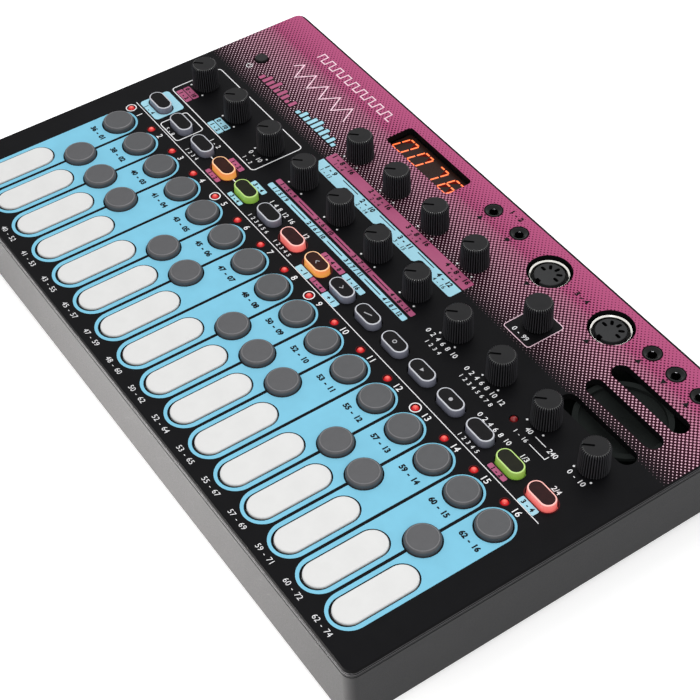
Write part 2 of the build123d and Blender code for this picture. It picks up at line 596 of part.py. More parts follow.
def jack_sockets():
    """Upright small jacks with open bores, and the power inlet with its centre pin."""
    body_top = COVER_UNDERSIDE - CONTROL_HEADROOM
    bore = Circle(JACK_BORE_RADIUS)
    jack = prism(Rectangle(JACK_BODY, JACK_BODY) - bore, BOARD_TOP, body_top)
    jack += prism(Circle(JACK_COLLAR_RADIUS) - bore, body_top, PANEL + JACK_RISE)
    inlet = prism(Rectangle(INLET_BODY, INLET_BODY), BOARD_TOP, body_top)
    inlet += prism(Circle(INLET_COLLAR_RADIUS), body_top, PANEL)
    well = Circle(INLET_BORE_RADIUS) - Circle(INLET_PIN_RADIUS)
    inlet -= prism(well, PANEL - INLET_DEPTH, PANEL + PASS)
    return [Pos(*place) * jack for place in JACK_PLACES] + [Pos(*INLET_PLACE) * inlet]


def midi_sockets():
    """Round five-pin sockets: a shield on a square base, and the pin insert inside it."""
    base_top = BOARD_TOP + MIDI_BASE_HEIGHT
    insert_top = PANEL - MIDI_INSERT_SINK
    shield = Circle(MIDI_SHIELD_RADIUS) - Circle(MIDI_SHIELD_RADIUS - MIDI_SHIELD_WALL)
    socket = prism(Rectangle(MIDI_BASE_SIZE, MIDI_BASE_SIZE), BOARD_TOP, base_top)
    socket += prism(shield, base_top, PANEL - MIDI_SHIELD_SINK)
    key = Pos(0, -MIDI_INSERT_RADIUS) * Rectangle(MIDI_KEY_WIDTH, 2 * MIDI_KEY_DEPTH)
    insert = prism(Circle(MIDI_INSERT_RADIUS) - key, base_top, insert_top)
    pins = []
    for i in range(MIDI_PIN_COUNT):
        angle = math.pi * i / (MIDI_PIN_COUNT - 1)
        pins.append((MIDI_PIN_CIRCLE * math.cos(angle), MIDI_PIN_CIRCLE * math.sin(angle)))
    insert -= prism(spread(Circle(MIDI_PIN_RADIUS), pins), insert_top - MIDI_PIN_DEPTH, insert_top + PASS)
    return [Pos(*place) * piece for place in MIDI_PLACES for piece in (socket, insert)]


def case_screws():
    """Screws from below, through the case bosses into the cover bosses."""
    seat = CASE_BOTTOM + SCREW_HEAD_DEPTH
    screw = prism(Circle(SCREW_HEAD_RADIUS), seat - SCREW_HEAD_HEIGHT, seat)
    screw += prism(Circle(SCREW_RADIUS), seat, BOSS_SPLIT + SCREW_ENGAGEMENT)
    return [Pos(*place) * screw for place in SCREW_PLACES]


def rubber_feet():
    """Round feet, let into the case's underside."""
    foot = prism(Circle(FOOT_RADIUS), 0, CASE_BOTTOM + FOOT_RECESS)
    foot = chamfer(foot.faces().sort_by(Axis.Z)[0].edges(), FOOT_CHAMFER)
    return [Pos(*place) * foot for place in FOOT_PLACES]


def knob_names():
    """The knobs' names from left to right, the lower row first."""
    names = [f"mixer_knob_{i + 1}" for i in range(MIXER_KNOBS)]
    names += [f"sound_knob_{i + 1}" for i in range(SOUND_KNOBS)]
    names += SINGLE_KNOBS
    names += [f"part_knob_{i + 1}" for i in range(SOUND_KNOBS)]
    return names


def save(name, pieces):
    """Writes one node, of one solid or several."""
    solids = [solid for piece in pieces for solid in piece.solids()]
    shape = solids[0] if len(solids) == 1 else Compound(solids)
    export_step(shape, os.path.join("parts", name + ".step"))


os.makedirs("parts", exist_ok=True)

save("bottom_case", [bottom_case()])
save("top_cover", [top_cover()])
save("battery_door", [battery_door()])
save("battery_contacts", battery_contacts())
save("main_board", main_board())
save("key_switches", key_switches())
save("potentiometers", potentiometers())
save("step_lamps", step_lamps())
save("display_module", [display_module()])
save("speaker", [speaker()])
save("jack_sockets", jack_sockets())
save("midi_sockets", midi_sockets())
save("case_screws", case_screws())
save("rubber_feet", rubber_feet())

for number, place in enumerate(WHITE_KEY_PLACES, 1):
    save(f"white_key_{number:02d}", [cap(key_slot, WHITE_KEY_RISE, KEY_CHAMFER, place)])
for number, place in enumerate(ACCIDENTAL_PLACES, 1):
    save(f"accidental_key_{number:02d}", [cap(pad_disc, PAD_RISE, PAD_CHAMFER, place)])
save("step_pads", [cap(pad_disc, PAD_RISE, PAD_CHAMFER, place) for place in STEP_PLACES])
save("function_buttons", [cap(button_slot, BUTTON_RISE, BUTTON_CHAMFER, place) for place in BUTTON_PLACES])
save("power_button", [cap(power_disc, POWER_RISE, BUTTON_CHAMFER, POWER_PLACE)])

for name, place in zip(knob_names(), POT_PLACES):
    save(name, knob(place, pointer=True))
save("value_encoder", knob(ENCODER_PLACE, pointer=False))
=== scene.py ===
import math

import bmesh
import bpy
from mathutils import Matrix, Vector


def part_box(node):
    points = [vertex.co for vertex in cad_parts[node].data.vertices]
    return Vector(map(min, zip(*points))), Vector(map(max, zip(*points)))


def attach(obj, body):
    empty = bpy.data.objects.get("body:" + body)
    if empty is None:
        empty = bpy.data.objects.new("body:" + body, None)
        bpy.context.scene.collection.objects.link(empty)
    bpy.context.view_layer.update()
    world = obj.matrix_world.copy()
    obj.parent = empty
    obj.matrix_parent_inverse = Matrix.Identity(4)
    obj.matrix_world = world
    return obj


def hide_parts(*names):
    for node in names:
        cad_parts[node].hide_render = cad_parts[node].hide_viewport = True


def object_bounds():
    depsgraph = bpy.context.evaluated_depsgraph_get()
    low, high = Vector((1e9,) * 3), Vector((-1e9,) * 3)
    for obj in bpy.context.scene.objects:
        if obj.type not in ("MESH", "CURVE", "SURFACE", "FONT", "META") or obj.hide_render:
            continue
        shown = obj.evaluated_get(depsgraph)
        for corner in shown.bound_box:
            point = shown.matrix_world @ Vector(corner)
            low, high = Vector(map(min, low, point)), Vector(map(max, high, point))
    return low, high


# Looks of a desktop digital synthesizer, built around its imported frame.
# Shapes are written in millimetres, in the frame's own axes, and turned into metres as they are made.

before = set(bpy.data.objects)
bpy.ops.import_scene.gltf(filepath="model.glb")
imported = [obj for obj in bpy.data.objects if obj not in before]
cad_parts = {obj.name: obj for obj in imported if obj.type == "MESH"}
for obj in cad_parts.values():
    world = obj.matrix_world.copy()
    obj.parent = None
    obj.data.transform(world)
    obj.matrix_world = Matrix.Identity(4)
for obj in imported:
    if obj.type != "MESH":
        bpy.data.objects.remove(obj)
cad_low, cad_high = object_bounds()

MM = 0.001

# Points of a solid and of an ink that lie closer than this, in millimetres, count as one
WELD = 0.001
INK_WELD = 0.0001

# How far a cutting shape passes the face that it cuts, and the points of small round outlines
PASS = 1.0
SMALL_POINTS = 24
ROD_POINTS = 32

# Caps that the player presses
KEY_LENGTH = 32.2
KEY_WIDTH = 11.2
KEY_EDGE = 0.5
PAD_RADIUS = 6.45
PAD_EDGE = 0.95
PILL_LENGTH = 12.9
PILL_WIDTH = 7.0
PILL_TAPER = 0.28
PILL_EDGE = 0.3
PILL_WINDOW_INSET = 0.82
PILL_WINDOW_SINK = 0.12
PILL_WINDOW_RING = 0.1
POWER_RADIUS = 2.8
POWER_EDGE = 0.6
TOP_RING = 0.15
FLANGE_REACH = 0.9
FLANGE_TOP_DROP = 3.35
FLANGE_BOTTOM_DROP = 4.55
STEM_RADIUS = 1.8
HOLE_CLEARANCE = 0.35

# Knobs
KNOB_BASE_RADIUS = 5.75
KNOB_TOP_RADIUS = 5.4
KNOB_EDGE = 0.9
FLUTES = 36
FLUTE_DEPTH = 0.55
KNOB_EDGE_GUARD = 0.2
KNOB_LIFT = 0.7
KNOB_FOOT = 0.3
KNOB_FOOT_INSET = 0.2
KNOB_LIP = 0.15
KNOB_LIP_DROP = 0.1
KNOB_LIP_FLUTE = 0.7
KNOB_BEVEL_REACH = 0.5
KNOB_BEVEL_DROP = 0.42
KNOB_BEVEL_FLUTE = 0.9
POINTS_PER_FLUTE = 6
SHAFT_RADIUS = 3.0
POINTER_ANGLE = 137.0
POINTER_WIDTH = 0.9
POINTER_DEPTH = 0.45
POINTER_START = 0.4
POINTER_CORNER = 0.3

# Lamps and sockets
LAMP_RADIUS = 1.5
LAMP_BODY = 4.6
LAMP_STEPS = 8
LAMP_TIP = 0.1
LAMP_CROWN = 0.4
JACK_RADIUS = 3.5
JACK_BORE = 1.8
JACK_DISH = 0.9
JACK_THROAT_WIDTH = 0.25
JACK_THROAT_RISE = 0.12
JACK_RING_GAP = 0.02
JACK_RING_WIDTH = 0.33
JACK_CONTACT_ANGLE = 0.75 * math.pi
JACK_CONTACT_TURN = math.radians(14)
JACK_CONTACT_SIZE = 0.25
JACK_CONTACT_HEIGHT = 0.8
INLET_RADIUS = 4.2
INLET_BORE = 2.95
INLET_EDGE = 0.25
INLET_MOUTH = 0.3
INLET_PIN = 1.0
INLET_PIN_SINK = 1.2
INLET_TIP = 0.5
INLET_TIP_SINK = 0.8
INLET_DEPTH = 9.0
PLATE_REACH = 0.2
PLATE_THICKNESS = 0.4
SHIELD_RADIUS = 7.8
SHIELD_WALL = 0.65
SHIELD_LIP = 0.12
SHIELD_SLOPE = 0.45
SHIELD_SINK = 1.4
SHIELD_POINTS = 72
BACK_REACH = 0.9
BACK_BOTTOM = 1.0
BACK_TOP = 0.05
INSERT_RADIUS = 6.0
INSERT_FOOT = 0.04
INSERT_EDGE = 0.3
SOCKET_DEPTH = 6.0
PIN_CIRCLE = 3.75
PIN_SLOT_LENGTH = 2.5
PIN_SLOT_WIDTH = 1.3
PIN_SLOT_STEPS = 6
PIN_DEPTH = 2.5
PIN_COUNT = 5
NOTCH_WIDTH = 2.2
NOTCH_DEPTH = 1.2
NOTCH_CORNER = 0.3
NOTCH_FLOOR = 0.5

# Print on the panel
INK_SINK = 0.02
INK_RISE = 0.04
HAIRLINE = 0.3
FRAME_LINE = 0.4
THIN = -0.008
BOLD = 0.006
BLACK_BOLD = 0.045
STEP_NUMBER_HEIGHT = 2.6
LABEL_HEIGHT = 2.1
SMALL_HEIGHT = 1.75
# Black margin left round the key and pad openings in the blue print, partly the print's clearance and
# partly painted shade, and the extra black in front of each key, painted shade
HOLE_SHADE_RING = 0.25
KEY_FRONT_SHADE = 0.4
# Reach of the painted glow round a lamp, the white ring round some lamps, and the painted glow round a lit
# button
LAMP_GLOW_RADIUS = 1.9
LAMP_RING_RADIUS = 2.3
LAMP_RING_WIDTH = 0.4
PILL_GLOW = 0.4
COLUMN_GAP = 1.3
COLUMN_FRONT = -74.0
BITE_RADIUS = 7.0

# Levels and places, from the frame
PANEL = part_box("top_cover")[1].z / MM
KEY_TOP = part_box("white_key_01")[1].z / MM
STEM_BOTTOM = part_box("white_key_01")[0].z / MM
PAD_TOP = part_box("accidental_key_01")[1].z / MM
PILL_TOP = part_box("function_buttons")[1].z / MM
POWER_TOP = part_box("power_button")[1].z / MM
KNOB_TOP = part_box("mixer_knob_1")[1].z / MM
SHAFT_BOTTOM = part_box("mixer_knob_1")[0].z / MM
LAMP_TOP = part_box("step_lamps")[1].z / MM
JACK_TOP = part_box("jack_sockets")[1].z / MM
DISPLAY_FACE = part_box("display_module")[1].z / MM
KNOB_BOTTOM = PANEL + KNOB_LIFT
SOCKET_FLOOR = PANEL - SOCKET_DEPTH


def middle(node):
    """Middle of a node's box, in millimetres."""
    low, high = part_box(node)
    return (low + high) / 2 / MM


def solids(node):
    """Middle and width of each separate solid of a node, from the front row back and from left to right."""
    mesh = bmesh.new()
    mesh.from_mesh(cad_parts[node].data)
    bmesh.ops.remove_doubles(mesh, verts=mesh.verts, dist=WELD * MM)
    waiting = set(mesh.verts)
    found = []
    while waiting:
        group = [waiting.pop()]
        for vert in group:
            near = [edge.other_vert(vert) for edge in vert.link_edges]
            near = [other for other in near if other in waiting]
            waiting.difference_update(near)
            group.extend(near)
        xs = [vert.co.x / MM for vert in group]
        ys = [vert.co.y / MM for vert in group]
        place = ((min(xs) + max(xs)) / 2, (min(ys) + max(ys)) / 2)
        found.append((place, max(xs) - min(xs)))
    mesh.free()
    return sorted(found, key=lambda item: (round(item[0][1]), item[0][0]))


WHITE_KEYS = [f"white_key_{number:02d}" for number in range(1, 17)]
ACCIDENTALS = [f"accidental_key_{number:02d}" for number in range(1, 12)]
MIXER_KNOBS = [f"mixer_knob_{number}" for number in range(1, 4)]
SOUND_KNOBS = [f"sound_knob_{number}" for number in range(1, 5)]
PART_KNOBS = [f"part_knob_{number}" for number in range(1, 5)]
SINGLE_KNOBS = ["level_knob", "effect_knob", "tempo_knob", "volume_knob"]
POT_KNOBS = MIXER_KNOBS + SOUND_KNOBS + SINGLE_KNOBS + PART_KNOBS

COLUMN_X = [middle(node).x for node in WHITE_KEYS]
COLUMN_PITCH = COLUMN_X[1] - COLUMN_X[0]
KEY_ROW = middle("white_key_01").y
ACCIDENTAL_ROW = middle("accidental_key_01").y
ACCIDENTAL_X = [middle(node).x for node in ACCIDENTALS]
STEP_PLACES = [place for place, width in solids("step_pads")]
STEP_ROW = STEP_PLACES[0][1]
PILL_PLACES = [place for place, width in solids("function_buttons")]
PILL_ROW = PILL_PLACES[0][1]
LAMP_PLACES = [place for place, width in solids("step_lamps")]
SOCKET_PLACES = [place for place, width in solids("jack_sockets")]
JACK_PLACES = SOCKET_PLACES[:-1]
INLET_PLACE = SOCKET_PLACES[-1]
MIDI_PLACES = [place for place, width in solids("midi_sockets") if width > 2 * SHIELD_RADIUS]
SCREW_PLACES = [place for place, width in solids("case_screws")]


def srgb(red, green, blue):
    """Linear colour of three display values from 0 to 255."""
    shares = [value / 255 for value in (red, green, blue)]
    linear = [v / 12.92 if v <= 0.04045 else ((v + 0.055) / 1.055) ** 2.4 for v in shares]
    return (*linear, 1.0)


def scaled(colour, factor):
    """A colour made darker or lighter."""
    return tuple(min(1.0, channel * factor) for channel in colour[:3]) + (1.0,)


# Range that most noise values fall in, detail and depth of the fine grain, and its effect on the gloss
NOISE_SPAN = (0.3, 0.7)
FINE_DETAIL = 4.0
GRAIN_DEPTH = 0.25
GLOSS_SPREAD = 0.06


class Shader:
    """The nodes of a material or of the world, with short calls to add and join them."""

    def __init__(self, owner, surface="Principled BSDF"):
        owner.use_nodes = True
        self.owner = owner
        self.tree = owner.node_tree
        self.surface = self.tree.nodes[surface]

    def put(self, socket, value):
        """Sets a socket to a value, or joins it to another socket."""
        if isinstance(value, bpy.types.NodeSocket):
            self.tree.links.new(value, socket)
        else:
            socket.default_value = value

    def node(self, kind, inputs, **settings):
        """Adds a node with its settings and its inputs by name."""
        made = self.tree.nodes.new("ShaderNode" + kind)
        for key, value in settings.items():
            setattr(made, key, value)
        for key, value in inputs.items():
            self.put(made.inputs[key], value)
        return made

    def finish(self, **inputs):
        """Sets the surface's inputs, whose names are written with _ for a space."""
        for key, value in inputs.items():
            self.put(self.surface.inputs[key.replace("_", " ")], value)
        return self.owner

    def place(self):
        """The point on the piece, in its own frame, in metres."""
        return self.node("TexCoord", {}).outputs["Object"]

    def noise(self, size, detail=2.0):
        """Cloudy noise whose patches are about a size in millimetres."""
        inputs = {"Vector": self.place(), "Scale": 1 / (size * MM), "Detail": detail}
        return self.node("TexNoise", inputs).outputs["Fac"]

    def math(self, operation, first, second=0.0):
        made = self.node("Math", {}, operation=operation)
        self.put(made.inputs[0], first)
        self.put(made.inputs[1], second)
        return made.outputs["Value"]

    def remap(self, value, low, high, to_low=0.0, to_high=1.0):
        """A value taken from one range to another, and held there."""
        inputs = {"Value": value, "From Min": low, "From Max": high, "To Min": to_low, "To Max": to_high}
        return self.node("MapRange", inputs).outputs["Result"]

    def spread(self, noise, low=0.0, high=1.0):
        """Noise stretched over a range."""
        return self.remap(noise, *NOISE_SPAN, low, high)

    def seen(self):
        """1 where the camera looks, directly, by a reflection or through glass, and 0 elsewhere."""
        rays = self.node("LightPath", {}).outputs
        direct = self.math("MAXIMUM", rays["Is Camera Ray"], rays["Is Glossy Ray"])
        return self.math("MAXIMUM", direct, rays["Is Transmission Ray"])

    def mix(self, share, first, second):
        return self.node("MixRGB", {"Fac": share, "Color1": first, "Color2": second}).outputs["Color"]

    def bump(self, height, strength, depth):
        """A surface normal roughened by a height, with a depth in millimetres."""
        inputs = {"Height": height, "Strength": strength, "Distance": depth * MM}
        return self.node("Bump", inputs).outputs["Normal"]


def new_material(name):
    """The nodes of a new material."""
    return Shader(bpy.data.materials.new(name))


def moulded(
    name, colour, roughness, grain=0.3, strength=0.15, mottle=0.08, cloud=7.0, specular=0.5, metallic=0.0
):
    """A moulded or printed finish: cloudy colour, uneven gloss and a fine grain, sized in millimetres."""
    shader = new_material(name)
    patches = shader.spread(shader.noise(cloud))
    fine = shader.noise(grain, detail=FINE_DETAIL)
    return shader.finish(
        Base_Color=shader.mix(patches, scaled(colour, 1 - mottle), scaled(colour, 1 + mottle)),
        Roughness=shader.spread(fine, roughness - GLOSS_SPREAD, roughness + GLOSS_SPREAD),
        Normal=shader.bump(fine, strength, grain * GRAIN_DEPTH),
        Specular_IOR_Level=specular,
        Metallic=metallic,
    )


PINK = srgb(183, 86, 128)
ROSE = srgb(178, 88, 126)
PALE_PINK = srgb(252, 214, 228)
BLUE = srgb(128, 201, 228)
ICE_BLUE = srgb(166, 219, 236)
PANEL_BLACK = srgb(16, 16, 18)
CASE_GREY = srgb(55, 55, 56)
PRINT_SHADOW = srgb(60, 5, 31)
# Grey of two thin lines on the cover's side, painted highlights where its chamfer and seam would catch
# light
EDGE_HIGHLIGHT_GREY = srgb(84, 84, 86)
EDGE_BLACK = srgb(18, 18, 19)
# Painted shade in a knob's flutes and painted highlight on its crests, and where between them the colour
# runs
FLUTE_SHADE_BLACK = srgb(9, 9, 10)
CREST_HIGHLIGHT_GREY = srgb(62, 62, 65)
CREST_HIGHLIGHT_SPAN = (-0.4, 0.9)
LAMP_BASE = srgb(120, 10, 14)
# How far below the panel's top each painted highlight line on the cover's side starts, and its width
EDGE_HIGHLIGHT_TOPS = (0.9, 1.8)
EDGE_HIGHLIGHT_WIDTH = 0.4
EDGE_BAND_DROP = 2.5
EDGE_REACH = 4.0
WHITE = srgb(248, 248, 250)
HALFTONE_PITCH = 1.87
HALFTONE_START = 40.0
HALFTONE_EVEN = 70.0
HALFTONE_FULL = 90.0
HALFTONE_REACH = 1.06
HALFTONE_HASTE = 0.85
PRINT_MARGIN = 1.2
PRINT_DEPTH = 0.05
DOT_SOFTNESS = 0.05
TINT_SPAN = (0.05, 0.9)
INK_SPAN = (0.3, 1.15)
PANEL_CLOUD = 9.0
PANEL_MOTTLE = (0.9, 1.12)
FINE_GRAIN = 0.25
PANEL_GLOSS = (0.46, 0.6)
PANEL_BUMP = (0.12, 0.05)
FLUTE_GLOSS = (0.36, 0.48)
FLUTE_BUMP = (0.12, 0.06)
LIT_CLOUD = 4.0
LIT_MOTTLE = 0.12
LIT_GRAIN = 0.4
LIT_SPREAD = 0.08


def panel_material():
    """Black satin panel with a pink halftone that grows towards the rear edge."""
    shader = new_material("printed_panel")
    split = shader.node("SeparateXYZ", {"Vector": shader.place()})
    turn = 2 * math.pi / (HALFTONE_PITCH * MM)
    across = shader.math("COSINE", shader.math("MULTIPLY", split.outputs["X"], turn))
    along = shader.math("COSINE", shader.math("MULTIPLY", split.outputs["Y"], turn))
    dots = shader.math("MULTIPLY", across, along)
    start = shader.remap(split.outputs["Y"], HALFTONE_START * MM, HALFTONE_EVEN * MM)
    start = shader.math("POWER", start, HALFTONE_HASTE)
    rest = shader.remap(split.outputs["Y"], HALFTONE_EVEN * MM, HALFTONE_FULL * MM)
    growth = shader.math("ADD", start, rest)
    level = shader.math("SUBTRACT", HALFTONE_REACH, shader.math("MULTIPLY", growth, HALFTONE_REACH))
    inked = shader.remap(shader.math("SUBTRACT", dots, level), -DOT_SOFTNESS, DOT_SOFTNESS)
    top_face = shader.math("GREATER_THAN", split.outputs["Z"], (PANEL - PRINT_DEPTH) * MM)
    before_edge = shader.math("LESS_THAN", split.outputs["Y"], cad_high.y - PRINT_MARGIN * MM)
    printed = shader.math("MULTIPLY", top_face, before_edge)
    inked = shader.math("MULTIPLY", inked, printed)
    patches = shader.spread(shader.noise(PANEL_CLOUD))
    ground = shader.mix(patches, *[scaled(PANEL_BLACK, share) for share in PANEL_MOTTLE])
    tinted = shader.math("MULTIPLY", shader.remap(growth, *TINT_SPAN), printed)
    ground = shader.mix(tinted, ground, PRINT_SHADOW)
    ground = shader.mix(top_face, EDGE_BLACK, ground)
    sides = []
    for axis, reach in (("X", cad_high.x), ("Y", cad_high.y)):
        distance = shader.math("ABSOLUTE", split.outputs[axis])
        sides.append(shader.math("GREATER_THAN", distance, reach - EDGE_REACH * MM))
    outside = shader.math("MAXIMUM", *sides)
    # Two thin grey lines on the cover's side: painted highlights where its chamfer and seam would catch
    # light
    for drop in EDGE_HIGHLIGHT_TOPS:
        below = shader.math("LESS_THAN", split.outputs["Z"], (PANEL - drop) * MM)
        above = shader.math("GREATER_THAN", split.outputs["Z"], (PANEL - drop - EDGE_HIGHLIGHT_WIDTH) * MM)
        line = shader.math("MULTIPLY", shader.math("MULTIPLY", below, above), outside)
        ground = shader.mix(line, ground, EDGE_HIGHLIGHT_GREY)
    low_band = shader.math("LESS_THAN", split.outputs["Z"], (PANEL - EDGE_BAND_DROP) * MM)
    ground = shader.mix(shader.math("MULTIPLY", low_band, outside), ground, CASE_GREY)
    ink = shader.mix(shader.remap(growth, *INK_SPAN), PALE_PINK, PINK)
    fine = shader.noise(FINE_GRAIN, detail=FINE_DETAIL)
    return shader.finish(
        Base_Color=shader.mix(inked, ground, ink),
        Roughness=shader.spread(fine, *PANEL_GLOSS),
        Normal=shader.bump(fine, *PANEL_BUMP),
        Specular_IOR_Level=0.05,
    )


def flute_shaded_material():
    """Black knob plastic, with painted shade in its flutes and painted highlights on the crests between
    them.
    """
    shader = new_material("knob_side_painted_shade")
    split = shader.node("SeparateXYZ", {"Vector": shader.place()})
    angle = shader.math("ARCTAN2", split.outputs["Y"], split.outputs["X"])
    crest_highlight = shader.math("COSINE", shader.math("MULTIPLY", angle, float(FLUTES)))
    fine = shader.noise(FINE_GRAIN, detail=FINE_DETAIL)
    return shader.finish(
        Base_Color=shader.mix(shader.remap(crest_highlight, *CREST_HIGHLIGHT_SPAN), FLUTE_SHADE_BLACK, CREST_HIGHLIGHT_GREY),
        Roughness=shader.spread(fine, *FLUTE_GLOSS),
        Normal=shader.bump(fine, *FLUTE_BUMP),
        Specular_IOR_Level=0.1,
    )


def lamp_material(name, side, top_colour, strength):
    """Red lamp, paler at the top of its dome."""
    shader = new_material(name)
    height = shader.node("SeparateXYZ", {"Vector": shader.place()}).outputs["Z"]
    top = shader.remap(height, (LAMP_TOP - LAMP_CROWN) * MM, LAMP_TOP * MM)
    return shader.finish(
        Base_Color=LAMP_BASE,
        Roughness=0.25,
        Emission_Color=shader.mix(top, side, top_colour),
        Emission_Strength=strength,
    )


def lit(name, low_colour, high_colour, strength, roughness=0.35):
    """Translucent plastic that glows, from one colour at the panel to another at the top."""
    shader = new_material(name)
    height = shader.node("SeparateXYZ", {"Vector": shader.place()}).outputs["Z"]
    colour = shader.mix(shader.remap(height, PANEL * MM, PILL_TOP * MM), low_colour, high_colour)
    cloud = shader.spread(shader.noise(LIT_CLOUD), 0.0, LIT_MOTTLE)
    colour = shader.mix(cloud, colour, low_colour)
    return shader.finish(
        Base_Color=colour,
        Roughness=shader.spread(shader.noise(LIT_GRAIN), roughness - LIT_SPREAD, roughness + LIT_SPREAD),
        Emission_Color=colour,
        Emission_Strength=strength,
    )


PRINTED_PANEL = panel_material()
CASE = moulded("case_plastic", CASE_GREY, 0.45, grain=0.45, strength=0.3, mottle=0.02, specular=0.06)
RUBBER = moulded("foot_rubber", srgb(30, 30, 31), 0.8, grain=0.5, strength=0.3)
KEY_WHITE = moulded("key_white", srgb(224, 224, 223), 0.42, grain=0.2, strength=0.05, mottle=0.02)
PAD_GREY = moulded("pad_grey", srgb(73, 73, 76), 0.5, grain=0.2, strength=0.12, mottle=0.05, cloud=3.0)
STEP_GREY = moulded("step_grey", srgb(67, 68, 71), 0.5, grain=0.2, strength=0.12, mottle=0.05, cloud=3.0)
# Paler grey of the pads' rims, a painted highlight
PAD_RIM_HIGHLIGHT = moulded("pad_rim_highlight", srgb(104, 104, 107), 0.3, grain=0.2, strength=0.05, mottle=0.03, cloud=3.0)
BLACK_PLASTIC = moulded("black_plastic", srgb(20, 20, 21), 0.45, specular=0.2)
SOCKET_BLACK = moulded("socket_black", srgb(10, 10, 11), 0.16, strength=0.03, specular=0.24)
INSERT_GREY = moulded("insert_grey", srgb(40, 41, 42), 0.5, specular=0.2)
CHROME = moulded("chrome", srgb(232, 230, 224), 0.14, grain=0.6, strength=0.03, mottle=0.03, metallic=1.0)
STEEL = moulded("steel", srgb(150, 150, 154), 0.32, grain=0.4, strength=0.1, metallic=1.0)
BOARD_BLACK = moulded("board_black", srgb(13, 17, 15), 0.5, specular=0.1)
SPEAKER_BLACK = moulded("speaker_paper", srgb(35, 38, 37), 0.9, grain=0.9, strength=0.3, specular=0.02)
DISPLAY_BROWN = moulded("display_face", srgb(44, 26, 22), 0.3, mottle=0.1, strength=0.02, specular=0.1)
KNOB_SIDE_SHADED = flute_shaded_material()
KNOB_RIM = moulded("knob_rim", srgb(34, 34, 35), 0.2, grain=0.25, strength=0.05, specular=1.0)
KNOB_CROWN = moulded("knob_crown", srgb(36, 36, 37), 0.55, grain=0.25, strength=0.25, specular=0.1)
# Near-black: the jack rings' own colour, and painted shade in the knobs' pointer grooves and the sockets'
# pin holes
BLACK_AND_GROOVE_SHADE = moulded("black_and_groove_shade", srgb(7, 7, 8), 0.7, specular=0.05)
LAMP_RED = lamp_material("lamp_red", srgb(188, 22, 26), srgb(250, 110, 96), 0.9)
LAMP_DIM = lamp_material("lamp_dim", srgb(58, 12, 14), srgb(96, 30, 30), 0.5)
DIGIT_ORANGE = lit("digit_orange", srgb(255, 112, 52), srgb(255, 112, 52), 1.5)
DIGIT_GLOW = lit("digit_glow", srgb(112, 24, 12), srgb(112, 24, 12), 0.6)
WHITE_INK = moulded("white_ink", WHITE, 0.55, mottle=0.02)
MARK_INK = moulded("mark_ink", srgb(176, 176, 180), 0.55, mottle=0.02)
BLUE_INK = moulded("blue_ink", BLUE, 0.5, mottle=0.03, specular=0.2)
ICE_INK = moulded("ice_ink", ICE_BLUE, 0.5, mottle=0.03, specular=0.2)
ROSE_INK = moulded("rose_ink", ROSE, 0.5, mottle=0.04, specular=0.2)
PALE_INK = moulded("pale_ink", PALE_PINK, 0.5, mottle=0.04)
BLACK_INK = moulded("black_ink", scaled(PANEL_BLACK, 0.7), 0.55, specular=0.08)
# Dark red painted glow of the lamps' and buttons' light on the panel
PAINTED_GLOW_INK = moulded("painted_glow_ink", srgb(78, 14, 18), 0.5, specular=0.1)

# Colours of each kind of function button: walls and rim, at the panel and at the top, and the window
# The paler rims are a painted highlight; the grey, green and red walls are darker at the panel, painted
# shade
PILL_COLOURS = {
    "grey": ((106, 108, 122), (142, 144, 158), (198, 200, 207), (198, 200, 207), (17, 16, 18)),
    "orange": ((255, 174, 80), (255, 150, 90), (255, 196, 144), (255, 198, 148), (46, 17, 9)),
    "green": ((146, 196, 74), (166, 204, 104), (180, 216, 116), (182, 217, 120), (24, 25, 12)),
    "red": ((255, 116, 110), (255, 146, 138), (255, 184, 176), (255, 186, 178), (44, 13, 14)),
}

# Glow of the walls and of the rim, and mottle and gloss of the window
# The grey buttons' faint glow is painted light
PILL_GLOWS = {
    "grey": (0.03, 0.03, 0.15, 0.06),
    "orange": (0.35, 0.2, 0.2, 0.08),
    "green": (0.2, 0.15, 0.2, 0.08),
    "red": (0.35, 0.2, 0.2, 0.08),
}
WINDOW_ROUGHNESS = 0.35
WINDOW_CLOUD = 2.0


def pill_paints(kind):
    """Materials of the walls, the rim and the window of a kind of function button."""
    wall_low, wall_high, rim_low, rim_high, window = [srgb(*colour) for colour in PILL_COLOURS[kind]]
    wall_glow, rim_glow, mottle, gloss = PILL_GLOWS[kind]
    name = "pill_" + kind
    return (
        # The rim's paler colours are a painted highlight
        lit(name, wall_low, wall_high, wall_glow),
        lit(name + "_rim", rim_low, rim_high, rim_glow),
        moulded(
            name + "_window", window, WINDOW_ROUGHNESS, mottle=mottle, cloud=WINDOW_CLOUD, specular=gloss
        ),
    )


PILL_PAINTS = {kind: pill_paints(kind) for kind in PILL_COLOURS}

# Least straight side between round corners, limit of a mitred corner and angle that stays a crease
LEAST_STRAIGHT = 0.01
MITRE_LIMIT = 0.45
CREASE_ANGLE = math.radians(38)


def arc(radius, first, last, count, x=0.0, y=0.0):
    """Points along a circle, from one angle in degrees to another."""
    points = []
    for i in range(count + 1):
        angle = math.radians(first + (last - first) * i / count)
        points.append((x + radius * math.cos(angle), y + radius * math.sin(angle)))
    return points


def circle(radius, x=0.0, y=0.0, count=48):
    """A whole circle."""
    return arc(radius, 0, 360, count, x, y)[:-1]


def stadium(length, width, x=0.0, y=0.0, upright=False, steps=14):
    """A straight-sided outline with round ends, along X or, if upright, along Y."""
    radius = width / 2
    reach = length / 2 - radius
    points = arc(radius, -90, 90, steps, x=reach) + arc(radius, 90, 270, steps, x=-reach)
    if upright:
        points = [(-v, u) for u, v in points]
    return [(x + u, y + v) for u, v in points]


